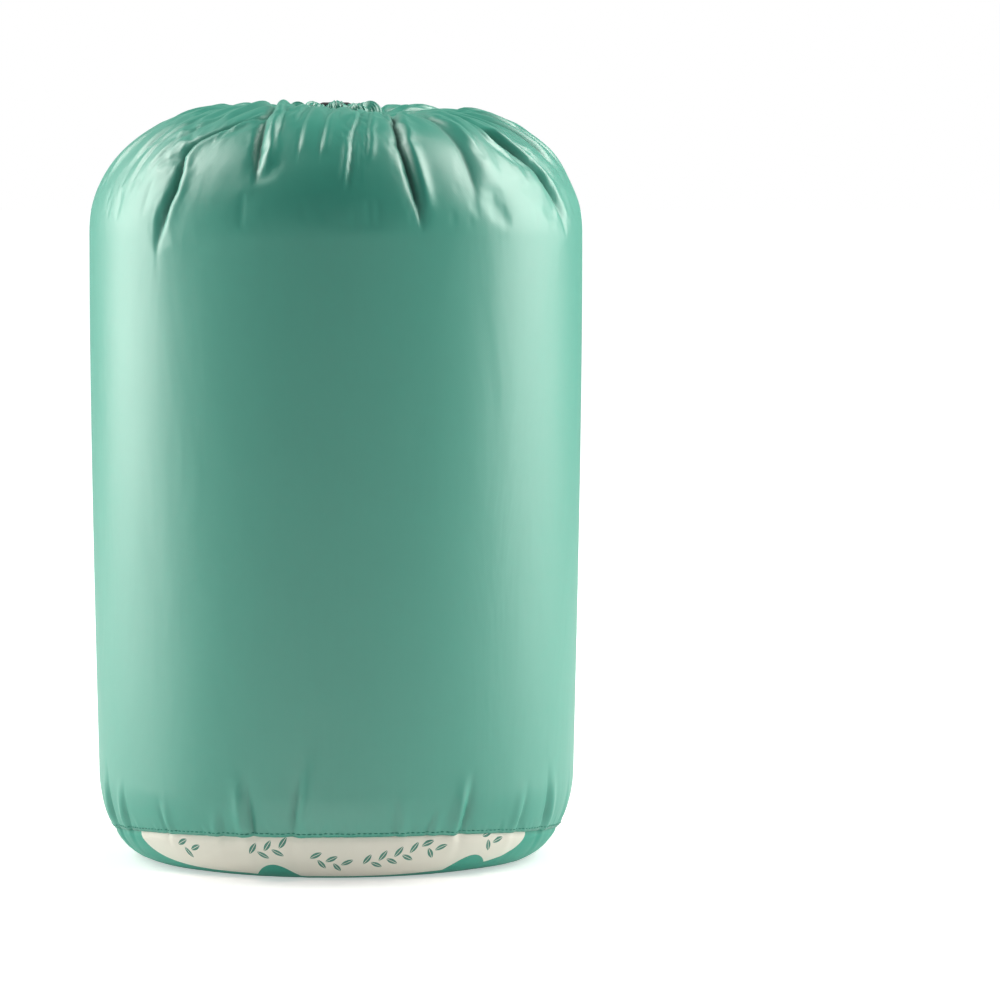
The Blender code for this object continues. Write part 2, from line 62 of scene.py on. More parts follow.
# %% [markdown]
# ## The camera
# A long lens far away keeps the sack's sides nearly parallel, as in a catalogue picture. It stands a little
# higher than the sack and looks down by a few degrees, so that the front of the sewn base shows. It could
# look straight at the sack, but it looks beside it, which leaves the room on the right that a second object
# would take.

# %% Camera
CAMERA_PLACE = (0.0835, -3.0, 0.41)
CAMERA_LENS = 212.5
CAMERA_LOOKS_DOWN = math.radians(4.37)


def put_in_scene(name, data):
    """An object with this data, at the origin."""
    made = bpy.data.objects.new(name, data)
    bpy.context.scene.collection.objects.link(made)
    return made


camera_data = bpy.data.cameras.new("camera")
camera_data.lens = CAMERA_LENS
camera = put_in_scene("camera", camera_data)
camera.location = CAMERA_PLACE
camera.rotation_euler = (math.pi / 2 - CAMERA_LOOKS_DOWN, 0, 0)
bpy.context.scene.camera = camera
print("camera at", CAMERA_PLACE)

# %% [markdown]
# ## Small tools for meshes
# Cloth that is wrapped round something is a grid: one direction goes round, the other runs along. Its
# points could be made one by one, but whole arrays of numbers are quicker, so each piece is worked out with
# numpy and made a mesh in one step. The grid's own UV map is in metres of cloth, so a weave on it has the
# same size everywhere.

# %% Grid meshes
def new_piece(name, mesh, finish):
    """An object with one material, at the origin."""
    mesh.name = name
    mesh.materials.clear()
    mesh.materials.append(finish)
    return put_in_scene(name, mesh)


def stacked(*axes):
    """Points whose coordinates are given one axis at a time."""
    return np.stack(np.broadcast_arrays(*axes), axis=-1)


def points_of(mesh):
    """The places of a mesh's points."""
    places = np.zeros(len(mesh.vertices) * 3)
    mesh.vertices.foreach_get("co", places)
    return places.reshape(-1, 3)


def grid_faces(rows, columns, steps):
    """The corners of each face of a grid, and the row and the column where the faces start."""
    row, column = np.meshgrid(np.arange(rows - 1), np.arange(steps), indexing="ij")
    beside = (column + 1) % columns
    corners = np.stack([row * columns + column, (row + 1) * columns + column,
                        (row + 1) * columns + beside, row * columns + beside], axis=-1)
    return corners.reshape(-1, 4).tolist(), row, column


def grid_mesh(name, points, cloth, finish, wrap=True, caps=(False, False)):
    """A surface from points[row, column]. Its UV map is the cloth's own place of each corner, in metres.

    With wrap the last column joins the first, and cloth has one column more than points. A cap closes the
    first or the last row with a fan. Faces point out where rows run down and columns run to the right."""
    rows, columns = points.shape[:2]
    steps = columns if wrap else columns - 1
    faces, row, column = grid_faces(rows, columns, steps)
    places = np.stack([cloth[row, column], cloth[row + 1, column],
                       cloth[row + 1, column + 1], cloth[row, column + 1]], axis=-2).reshape(-1, 2)
    vertices, extra = points.reshape(-1, 3).tolist(), []
    for capped, at in zip(caps, (0, rows - 1)):
        if capped:
            vertices.append(points[at].mean(axis=0).tolist())
            middle = len(vertices) - 1
            for first in range(steps):
                edge = [at * columns + (first + 1) % columns, at * columns + first]
                faces.append([middle] + (edge if at == 0 else edge[::-1]))
                extra += [cloth[at, first]] * 3
    mesh = bpy.data.meshes.new(name)
    mesh.from_pydata(vertices, [], faces)
    places = np.concatenate([places, np.array(extra).reshape(-1, 2)])
    mesh.uv_layers.new(name="cloth").data.foreach_set("uv", places.astype(np.float32).ravel())
    mesh.shade_smooth()
    mesh.validate()
    return new_piece(name, mesh, finish)


def smooth_step(value, start, end):
    """0 before start, 1 after end, and an even change between them."""
    share = np.clip((value - start) / (end - start), 0, 1)
    return share * share * (3 - 2 * share)


def travelled_along(line):
    """How far along a line each of its points is."""
    return np.concatenate([[0], np.cumsum(np.linalg.norm(np.diff(line, axis=0), axis=1))])


def tube_mesh(name, line, radius, finish, sides=16, braid=None, pitch=0.005):
    """A round tube along a line of points. braid is how far strands stand proud, as a share of the radius."""
    along = np.gradient(line, axis=0)
    along /= np.linalg.norm(along, axis=1)[:, None]
    side = np.cross(along[0], (0.3, 0.5, 0.8))
    sides_of = []
    for direction in along:
        side = side - direction * (side @ direction)
        side /= np.linalg.norm(side)
        sides_of.append(side)
    side = np.array(sides_of)[:, None]
    other = np.cross(along, side[:, 0])[:, None]
    travelled = travelled_along(line)
    angle = np.linspace(0, math.tau, sides, endpoint=False)
    radii = np.full((len(line), 1), radius)
    if braid:
        turn = math.tau * travelled[:, None] / pitch
        strands = np.maximum(np.cos(4 * angle - turn), np.cos(4 * angle + turn))
        radii = radii * (1 + braid * (strands - 0.5))
    turned = side * np.cos(angle)[:, None] + other * np.sin(angle)[:, None]
    points = line[:, None] + radii[..., None] * turned
    cloth = stacked(np.linspace(0, math.tau * radius, sides + 1), travelled[:, None])
    return grid_mesh(name, points[:, ::-1], cloth[:, ::-1], finish, caps=(True, True))


def smooth_line(route, spacing):
    """Points evenly spread, about this far apart, on a smooth curve through the route's own points."""
    guide = bpy.data.curves.new("guide", "CURVE")
    guide.dimensions = "3D"
    guide.resolution_u = 24
    spline = guide.splines.new("BEZIER")
    spline.bezier_points.add(len(route) - 1)
    for knot, place in zip(spline.bezier_points, route):
        knot.co = place
        knot.handle_left_type = knot.handle_right_type = "AUTO"
    holder = put_in_scene("guide", guide)
    evaluated = holder.evaluated_get(bpy.context.evaluated_depsgraph_get())
    fine = points_of(evaluated.to_mesh())
    evaluated.to_mesh_clear()
    bpy.data.objects.remove(holder)
    bpy.data.curves.remove(guide)
    travelled = travelled_along(fine)
    even = np.linspace(0, travelled[-1], round(travelled[-1] / spacing) + 1)
    return np.stack([np.interp(even, travelled, fine[:, axis]) for axis in range(3)], axis=1)


# %% [markdown]
# ## Node groups that the finishes share
# Every cloth here has yarns, a few soft creases and uneven dye. Each of those effects is one shader node
# group, built once and used in each material with its own numbers. The alternative, a copied set of nodes
# in every material, would drift apart as soon as one of them is changed.

# %% Node tools
def add_node(tree, kind, inputs=None, **settings):
    """A node with its settings and inputs. An input is a plain value or another node's output."""
    made = tree.nodes.new(kind)
    for key, value in settings.items():
        setattr(made, key, value)
    for key, value in (inputs or {}).items():
        if isinstance(value, bpy.types.NodeSocket):
            tree.links.new(value, made.inputs[key])
        else:
            made.inputs[key].default_value = value
    return made


def maths(tree, operation, *values):
    """The result of one Math node."""
    return add_node(tree, "ShaderNodeMath", dict(enumerate(values)), operation=operation).outputs[0]


def noise(tree, place, scale, detail, **more):
    """Soft noise at a place, 0 to 1."""
    inputs = {"Vector": place, "Scale": scale, "Detail": detail, **more}
    return add_node(tree, "ShaderNodeTexNoise", inputs).outputs["Fac"]


def axes_of(tree, place):
    """A vector's X, Y and Z."""
    return add_node(tree, "ShaderNodeSeparateXYZ", {0: place}).outputs


def object_place(tree):
    """Where in its object a point is."""
    return add_node(tree, "ShaderNodeTexCoord").outputs["Object"]


def new_group(name, inputs, outputs):
    """An empty shader node group: its tree, its inputs' sockets and a call that sets its outputs."""
    tree = bpy.data.node_groups.new(name, "ShaderNodeTree")
    for label, kind, value in inputs:
        socket = tree.interface.new_socket(label, in_out="INPUT", socket_type=kind)
        if value is not None:
            socket.default_value = value
    for label, kind in outputs:
        tree.interface.new_socket(label, in_out="OUTPUT", socket_type=kind)
    entry, leave = tree.nodes.new("NodeGroupInput"), tree.nodes.new("NodeGroupOutput")

    def put_out(**values):
        for label, value in values.items():
            tree.links.new(value, leave.inputs[label])

    return tree, entry.outputs, put_out


def use_group(tree, group, **inputs):
    """The outputs of a group that is placed in a tree."""
    made = tree.nodes.new("ShaderNodeGroup")
    made.node_tree = group
    for key, value in inputs.items():
        key = key.replace("_", " ")
        if isinstance(value, bpy.types.NodeSocket):
            tree.links.new(value, made.inputs[key])
        else:
            made.inputs[key].default_value = value
    return made.outputs


def mixed_colour(tree, share, first, second):
    """first where share is 0, second where it is 1."""
    mixed = add_node(tree, "ShaderNodeMix", {"Factor": share}, data_type="RGBA")
    for value, socket in ((first, mixed.inputs[6]), (second, mixed.inputs[7])):
        if isinstance(value, bpy.types.NodeSocket):
            tree.links.new(value, socket)
        else:
            socket.default_value = (*value, 1)
    return mixed.outputs[2]


FLOAT, VECTOR, COLOUR = "NodeSocketFloat", "NodeSocketVector", "NodeSocketColor"


# %% Weave, creases and uneven dye
def weave_group():
    """Plain weave: each yarn goes over one and under the next. Height is 0 to 1."""
    tree, given, put_out = new_group(
        "plain_weave", [("Place", VECTOR, None), ("Yarns per metre", FLOAT, 2000.0)], [("Height", FLOAT)])
    scaled = add_node(tree, "ShaderNodeVectorMath", {0: given["Place"]}, operation="SCALE")
    tree.links.new(given["Yarns per metre"], scaled.inputs["Scale"])
    axis = axes_of(tree, scaled.outputs[0])
    warp = maths(tree, "SINE", maths(tree, "MULTIPLY", axis["X"], math.pi))
    weft = maths(tree, "SINE", maths(tree, "MULTIPLY", axis["Y"], math.pi))
    crossing = maths(tree, "MULTIPLY", warp, weft)
    put_out(Height=maths(tree, "MULTIPLY_ADD", crossing, 0.5, 0.5))
    return tree


def crease_group():
    """Soft creases, long in one direction and narrow in the other. Height is about -1 to 1."""
    tree, given, put_out = new_group(
        "soft_creases",
        [("Place", VECTOR, None), ("Across per metre", FLOAT, 60.0), ("Along per metre", FLOAT, 12.0)],
        [("Height", FLOAT)])
    axis = axes_of(tree, given["Place"])
    across = maths(tree, "MULTIPLY", axis["X"], given["Across per metre"])
    along = maths(tree, "MULTIPLY", axis["Y"], given["Along per metre"])
    place = add_node(tree, "ShaderNodeCombineXYZ", {"X": across, "Y": along, "Z": axis["Z"]}).outputs[0]
    creased = noise(tree, place, 1.0, 3.0, Roughness=0.55, Distortion=0.6)
    put_out(Height=maths(tree, "MULTIPLY_ADD", creased, 2.0, -1.0))
    return tree


def dye_group():
    """A cloth's colour with slow, uneven dye and single yarns that took more or less of it."""
    tree, given, put_out = new_group(
        "uneven_dye",
        [("Place", VECTOR, None), ("Colour", COLOUR, None), ("Light colour", COLOUR, None),
         ("Amount", FLOAT, 0.3)], [("Colour", COLOUR)])
    slow = noise(tree, given["Place"], 16.0, 2.0)
    yarn_place = add_node(tree, "ShaderNodeMapping", {"Vector": given["Place"], "Scale": (700.0, 14.0, 1.0)})
    yarns = noise(tree, yarn_place.outputs[0], 1.0, 1.0)
    both = maths(tree, "ADD", maths(tree, "MULTIPLY", slow, 0.6), maths(tree, "MULTIPLY", yarns, 0.4))
    share = maths(tree, "MULTIPLY", both, given["Amount"])
    put_out(Colour=mixed_colour(tree, share, given["Colour"], given["Light colour"]))
    return tree


plain_weave, soft_creases, uneven_dye = weave_group(), crease_group(), dye_group()
print("shared node groups:", [group.name for group in (plain_weave, soft_creases, uneven_dye)])


# %% Cloth materials
def new_material(name, constants):
    """A material, its tree and its Principled shader, with values that are the same all over the surface."""
    made = bpy.data.materials.new(name)
    made.use_nodes = True
    shader = made.node_tree.nodes["Principled BSDF"]
    for key, value in constants.items():
        shader.inputs[key].default_value = value
    return made, made.node_tree, shader


def cloth_place(tree, on_uv):
    """Where on the cloth a point is: the piece's own UV map in metres, or its place in the object."""
    if on_uv:
        return add_node(tree, "ShaderNodeUVMap", uv_map="cloth").outputs[0]
    return object_place(tree)


def bumps(tree, *layers):
    """One normal from several heights, each with its distance in metres."""
    normal = None
    for height, distance in layers:
        bump = add_node(tree, "ShaderNodeBump", {"Height": height, "Distance": distance, "Strength": 1.0})
        if normal:
            tree.links.new(normal, bump.inputs["Normal"])
        normal = bump.outputs[0]
    return normal


# Painted shade in folds: the share of its own colour that cloth keeps deepest in a fold, and how much rougher
# it is there.
CREVICE_SHADE, CREVICE_ROUGHER = 0.25, 0.4


def cloth_material(name, colour, light_colour, roughness, yarns=2000.0, yarn_height=0.00002, crease=0.0004,
                   crease_size=(60.0, 12.0), dye=0.3, on_uv=True, crevice_shade=0.0, **constants):
    """Woven cloth: yarns, soft creases and uneven dye, with the shader's other values by their own names.

    Painted shade: deep in a fold, where its crevice attribute is 1, the colour is darkened by the share that
    the crevice argument gives."""
    constants = {key.replace("_", " "): value for key, value in constants.items()}
    made, tree, shader = new_material(name, constants)
    place = cloth_place(tree, on_uv)
    weave = use_group(tree, plain_weave, Place=place, Yarns_per_metre=yarns)["Height"]
    creases = use_group(tree, soft_creases, Place=place, Across_per_metre=crease_size[0],
                        Along_per_metre=crease_size[1])["Height"]
    dyed_and_shaded = use_group(tree, uneven_dye, Place=place, Colour=(*colour, 1), Light_colour=(*light_colour, 1),
                     Amount=dye)["Colour"]
    rough = maths(tree, "MULTIPLY_ADD", creases, 0.04, roughness)
    # Painted shade: the colour is darkened towards a quarter of itself deep in the folds.
    if crevice_shade:
        deep = add_node(tree, "ShaderNodeAttribute", attribute_name="crevice").outputs["Fac"]
        dark = tuple(CREVICE_SHADE * value for value in colour)
        dyed_and_shaded = mixed_colour(tree, maths(tree, "MULTIPLY", deep, crevice_shade), dyed_and_shaded, dark)
        rough = maths(tree, "MULTIPLY_ADD", deep, CREVICE_ROUGHER, rough)
    tree.links.new(dyed_and_shaded, shader.inputs["Base Color"])
    tree.links.new(rough, shader.inputs["Roughness"])
    tree.links.new(bumps(tree, (creases, crease), (weave, yarn_height)), shader.inputs["Normal"])
    return made


TEAL, TEAL_LIGHT = (0.018, 0.360, 0.262), (0.028, 0.420, 0.305)
TAFFETA = {"Specular_IOR_Level": 0.9, "IOR": 1.75, "Sheen_Weight": 0.15, "Sheen_Roughness": 0.4,
           "Sheen_Tint": (0.75, 1.0, 0.9, 1.0)}
# The sack's taffeta gets painted shade deep in its folds.
green_taffeta = cloth_material("green_taffeta", TEAL, TEAL_LIGHT, 0.40, crease=0.0003,
                               crease_size=(26.0, 8.0), dye=0.5, crevice_shade=0.75, **TAFFETA)
quilt_shell = cloth_material("quilt_shell_cloth", TEAL, TEAL_LIGHT, 0.5, crease=0.0008)
quilt_lining = cloth_material("quilt_lining_cloth", (0.60, 0.55, 0.44), (0.70, 0.65, 0.54), 0.6,
                              crease=0.0008)
quilt_fill = cloth_material("quilt_fill", (0.78, 0.78, 0.75), (0.9, 0.9, 0.88), 0.95, yarns=300.0,
                            crease=0.002)
binding_tape = cloth_material("quilt_binding_tape", (0.03, 0.12, 0.10), (0.05, 0.17, 0.14), 0.6, 1200.0,
                              0.00008, on_uv=False)
seam_tape = cloth_material("seam_tape", (0.04, 0.15, 0.12), (0.06, 0.2, 0.16), 0.7, 1200.0, 0.00008,
                           on_uv=False)
thread_green = cloth_material("green_thread", (0.035, 0.27, 0.20), (0.06, 0.34, 0.26), 0.55, 3000.0, 0.00003,
                              on_uv=False)
cord_black = cloth_material("black_cord", (0.012, 0.012, 0.013), (0.035, 0.035, 0.037), 0.6, 4500.0, 0.00003,
                            crease=0.00002, dye=0.8, Sheen_Weight=0.3)
print("cloth materials made")

# %% [markdown]
# ## The drawcord
# One round braided cord runs through the tunnel at the mouth, and both of its ends come out through the
# lock. Drawn tight, the sack keeps only a short ring of cord at its mouth, so most of the cord is in the
# two tails, which lie over the shoulder and hang down the back to a knot. A curve with a round bevel would
# look like plastic hose, so each cord is a tube whose radius rises and falls where the braid's strands
# cross.

# %% The tails of the cord
CORD_DIAMETER = 0.0024
BRAID_DEPTH, BRAID_PITCH = 0.07, 0.0042
RIGHT_TAIL = [
    (0.0015, 0.0265, 0.3786), (0.0015, 0.0340, 0.3792), (0.0015, 0.0450, 0.3801),
    (0.0015, 0.0560, 0.3809), (0.0016, 0.0650, 0.3815), (0.0024, 0.0750, 0.3802),
    (0.0036, 0.0860, 0.3761), (0.0052, 0.0970, 0.3697), (0.0068, 0.1070, 0.3621),
    (0.0082, 0.1160, 0.3513), (0.0091, 0.1220, 0.3405), (0.0097, 0.1258, 0.3250),
    (0.0100, 0.1266, 0.3050), (0.0102, 0.1266, 0.2750), (0.0098, 0.1266, 0.2450),
    (0.0086, 0.1266, 0.2150), (0.0068, 0.1265, 0.1850), (0.0048, 0.1264, 0.1550),
    (0.0031, 0.1261, 0.1300), (0.0019, 0.1257, 0.1120), (0.0015, 0.1254, 0.1000)]
LEFT_TAIL = [
    (-0.0015, 0.0265, 0.3786), (-0.0015, 0.0340, 0.3792), (-0.0015, 0.0450, 0.3801),
    (-0.0015, 0.0560, 0.3809), (-0.0016, 0.0650, 0.3815), (-0.0022, 0.0750, 0.3802),
    (-0.0032, 0.0860, 0.3761), (-0.0046, 0.0970, 0.3697), (-0.0062, 0.1070, 0.3621),
    (-0.0082, 0.1160, 0.3513), (-0.0104, 0.1220, 0.3405), (-0.0126, 0.1256, 0.3250),
    (-0.0144, 0.1262, 0.3050), (-0.0156, 0.1262, 0.2750), (-0.0150, 0.1262, 0.2450),
    (-0.0128, 0.1264, 0.2150), (-0.0098, 0.1264, 0.1850), (-0.0066, 0.1263, 0.1550),
    (-0.0038, 0.1261, 0.1300), (-0.0020, 0.1257, 0.1120), (-0.0015, 0.1254, 0.1000)]


def braided_cord(name, line):
    """A braided cord along a line of closely spaced points."""
    return tube_mesh(name, line, CORD_DIAMETER / 2, cord_black, braid=BRAID_DEPTH, pitch=BRAID_PITCH)


def line_length(line):
    """The length of a line of points."""
    return float(np.linalg.norm(np.diff(line, axis=0), axis=1).sum())


tails = {}
for side, route in (("right", RIGHT_TAIL), ("left", LEFT_TAIL)):
    line = smooth_line(route, 0.0005)
    tails[side] = (braided_cord(f"cord_tail_{side}", line), line)
    print(f"{side} tail: {line_length(line):.4f} m")


# %% The ring in the tunnel
STRAND_SPACING, CORD_BEND = 0.0030, 0.005
BEND_STEPS, RING_STEPS = 5, 38
hem_low, hem_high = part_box("mouth_hem")
hem_tube = (hem_high.z - hem_low.z) / 2
hem_radius, hem_z = hem_high.x - hem_tube, hem_high.z - hem_tube


def loop_end(side):
    """From the lock round a small bend into the tunnel, and the angle at which it joins the ring."""
    offset = STRAND_SPACING / 2 + CORD_BEND
    centre_y = math.sqrt((hem_radius + CORD_BEND) ** 2 - offset**2)
    touch = math.atan2(centre_y, offset)
    exit_x, exit_y, exit_z = RIGHT_TAIL[0]
    points = [(side * exit_x, exit_y, exit_z)]
    for step in range(BEND_STEPS):
        angle = math.pi + touch * step / (BEND_STEPS - 1)
        points.append((side * (offset + CORD_BEND * math.cos(angle)), centre_y + CORD_BEND * math.sin(angle),
                       exit_z + (hem_z - exit_z) * (step + 1) / BEND_STEPS))
    return points, touch


right_bend, touch = loop_end(1)
left_bend, _ = loop_end(-1)
round_it = np.linspace(touch, -math.pi - touch, RING_STEPS + 2)[1:-1]
ring = [(hem_radius * math.cos(angle), hem_radius * math.sin(angle), hem_z) for angle in round_it]
loop_line = smooth_line(right_bend + ring + left_bend[::-1], 0.0005)
loop = braided_cord("cord_in_tunnel", loop_line)
print(f"ring in the tunnel: {line_length(loop_line):.3f} m")


# %% The knot
knot_low, knot_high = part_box("drawcord_end_knot")
KNOT_TURNS, WINDING_RADIUS, WINDING_HALF, KNOT_DROP = 1.25, 0.0029, 0.0033, 0.0053
TIP_SHAPES = {1: [(0.0014, 0.0004, -0.0065), (0.0019, -0.0003, -0.0110), (0.0015, 0.0002, -0.0155)],
              -1: [(-0.0013, -0.0002, -0.0065), (-0.0017, 0.0003, -0.0110), (-0.0023, 0.0005, -0.0148)]}


def joined(name, pieces):
    """Several objects as one."""
    with bpy.context.temp_override(active_object=pieces[0], object=pieces[0],
                                   selected_editable_objects=pieces, selected_objects=pieces):
        bpy.ops.object.join()
    pieces[0].name = name
    pieces[0].data.name = name
    return pieces[0]


def knot_strand(side):
    """One end of the cord: over the top, round the other end, and out below as a short tip."""
    top = RIGHT_TAIL[-1]
    centre = np.array([0, (knot_low.y + knot_high.y) / 2, top[2] - KNOT_DROP])
    start = math.radians(-60 if side > 0 else 120)
    route = [np.array([side * top[0], top[1], top[2] - 0.0001])]
    for share in np.linspace(0, 1, 9):
        angle = start + math.tau * KNOT_TURNS * share
        route.append(centre + (WINDING_RADIUS * math.cos(angle), WINDING_RADIUS * math.sin(angle),
                               WINDING_HALF * (1 - 2 * share)))
    route += [centre + tip for tip in TIP_SHAPES[side]]
    return braided_cord("strand", smooth_line(route, 0.0004))


knot = joined("cord_end_knot", [knot_strand(1), knot_strand(-1)])
print("knot:", len(knot.data.polygons), "faces")

# %% [markdown]
# ## The cord lock
# A small two-part lock grips both tails. The barrel and its plunger are moulded plastic, and a steel spring
# between them pushes the plunger's hole out of line with the barrel's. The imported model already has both
# moulded parts at their full shape, so they keep it and only get their finish. The spring is wound here as
# round wire.

# %% The spring
SPRING_TURNS, SPRING_POINTS, WIRE = 3, 240, 0.0004
spring_low, spring_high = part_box("cord_lock_spring")
spring_middle = (spring_low + spring_high) / 2
coil_radius = (spring_high.y - spring_low.y) / 2 - WIRE / 2


def spring_line():
    """The wire's centre line: flat end turns and open turns between them."""
    share = np.linspace(0, 1, SPRING_POINTS)
    turns = math.tau * (SPRING_TURNS + 1) * share
    run = spring_high.x - spring_low.x - WIRE
    flat = 0.5 / (SPRING_TURNS + 1)
    along = spring_low.x + WIRE / 2 + run * np.clip((share - flat) / (1 - 2 * flat), 0, 1)
    return np.stack([along, spring_middle.y + coil_radius * np.cos(turns),
                     spring_middle.z + coil_radius * np.sin(turns)], axis=1)


spring_steel, steel_tree, steel_shader = new_material(
    "spring_steel", {"Base Color": (0.55, 0.56, 0.58, 1), "Metallic": 1.0, "Roughness": 0.28})
steel_streaks = noise(steel_tree, object_place(steel_tree), 2500.0, 2.0)
steel_roughness = maths(steel_tree, "MULTIPLY_ADD", steel_streaks, 0.2, 0.2)
steel_tree.links.new(steel_roughness, steel_shader.inputs["Roughness"])
spring = tube_mesh("lock_spring", spring_line(), WIRE / 2, spring_steel, sides=10)
print("spring:", len(spring.data.polygons), "faces")


def stand_in(piece, node, slot, body=sack_body):
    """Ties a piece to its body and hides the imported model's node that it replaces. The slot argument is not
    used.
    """
    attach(piece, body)
    if node:
        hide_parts(node)


for side, (tail, line) in tails.items():
    stand_in(tail, f"drawcord_tail_{side}", "black_cord")
stand_in(loop, "drawcord_loop", "black_cord")
stand_in(knot, "drawcord_end_knot", "black_cord")
stand_in(spring, "cord_lock_spring", "spring_steel", lock_body)
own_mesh(spring)
print("cords ride on", sack_body)

# %% [markdown]
# ## The sack's skin
# The sack is round, so one outline from the mouth down to the seam describes it, turned about its axis. A
# place on the cloth is then two numbers: the azimuth, 0 at the front and growing to the right, and the
# distance down the outline from the mouth's edge. Folds are drawn in those two numbers, the way a tailor
# would chalk them on the cloth.

# %% The outline
wall_low, wall_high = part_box("sack_wall")
REST_INSET, FOOT_INSET, FOOT_RISE = 0.035, 0.004, 0.045
SHOULDER_RUN, SHOULDER_RISE = 0.063, 0.060
SEAM_HEIGHT, SEAM_RISE = 0.015, 0.0066092

sack_radius, crest_z = wall_high.x, wall_high.z
rest_radius, foot_radius = sack_radius - REST_INSET, sack_radius - FOOT_INSET
crest_radius, shoulder_base = sack_radius - SHOULDER_RUN, crest_z - SHOULDER_RISE
mouth_radius, mouth_z = hem_radius + hem_tube * math.sqrt(0.5), hem_z - hem_tube * math.sqrt(0.5)
seam_slope = SEAM_RISE / rest_radius


def outline():
    """Radius and height from the mouth's edge down to the flat patch, closely spaced."""
    rise = np.linspace(0, 1, 80, endpoint=False)
    quarter = np.linspace(0, math.pi / 2, 120, endpoint=False)
    down = np.linspace(0, 1, 80, endpoint=False)
    foot = np.linspace(0, math.pi / 2, 100)
    radius = [mouth_radius + (crest_radius - mouth_radius) * rise,
              crest_radius + SHOULDER_RUN * np.sin(quarter),
              sack_radius - FOOT_INSET * down**2,
              rest_radius + (foot_radius - rest_radius) * np.cos(foot)]
    height = [mouth_z + (crest_z - mouth_z) * np.sin(rise * math.pi / 2),
              shoulder_base + SHOULDER_RISE * np.cos(quarter),
              shoulder_base - (shoulder_base - FOOT_RISE) * down,
              FOOT_RISE - FOOT_RISE * np.sin(foot)]
    return np.concatenate(radius), np.concatenate(height)


outline_radius, outline_z = outline()
outline_arc = np.concatenate([[0], np.cumsum(np.hypot(np.diff(outline_radius), np.diff(outline_z)))])
slope_radius, slope_z = np.gradient(outline_radius, outline_arc), np.gradient(outline_z, outline_arc)


def skin(azimuth, arc, out=0.0):
    """The point at an azimuth and a distance down the outline, moved straight out of the cloth by out."""
    size = np.hypot(np.interp(arc, outline_arc, slope_radius), np.interp(arc, outline_arc, slope_z))
    out_radius = -np.interp(arc, outline_arc, slope_z) / size
    out_z = np.interp(arc, outline_arc, slope_radius) / size
    radius = np.interp(arc, outline_arc, outline_radius) + out * out_radius
    height = np.interp(arc, outline_arc, outline_z) + out * out_z
    return stacked(radius * np.sin(azimuth), -radius * np.cos(azimuth), height)


def seam_arc(azimuth):
    """How far down the outline the bottom seam lies: its plane is tilted, higher at the front."""
    over = (outline_z - SEAM_HEIGHT)[None] - seam_slope * outline_radius[None] * np.cos(azimuth)[:, None]
    below = np.argmax(over < 0, axis=1)
    rows = np.arange(len(azimuth))
    before, after = over[rows, below - 1], over[rows, below]
    share = before / (before - after)
    return outline_arc[below - 1] + share * (outline_arc[below] - outline_arc[below - 1])


side_seam_arc = float(seam_arc(np.array([math.pi / 2]))[0])
back_seam_arc = float(seam_arc(np.array([math.pi]))[0])
print(f"sack {2 * sack_radius:.3f} m wide, {outline_arc[-1]:.3f} m of cloth from the mouth to the flat patch")

# %% [markdown]
# ## Folds
# Cloth that is drawn together has more width than room, so it falls into folds: rounded lobes with sharp
# valleys between them, deep at the mouth and running out over the shoulder. A heavy simulation can find
# such folds, but not the ones that a particular sack has. So each fold is a short line of chalk marks with
# a depth and a width, the cloth sinks towards it with a sharp bottom, and stands up in a soft lip beside
# it. Cloth simulation then works on the result.

# %% Folds that are listed one by one
def fold(marks, depth, width, lip=0.5, side=1, fade=(0.014, 0.016)):
    """A fold along marks of (distance down the outline, azimuth in degrees). lip is a share of depth."""
    arcs, azimuths = zip(*marks)
    return {"arcs": arcs, "azimuths": np.radians(azimuths), "depth": depth, "width": width, "lip": lip,
            "side": side, "fade": fade}


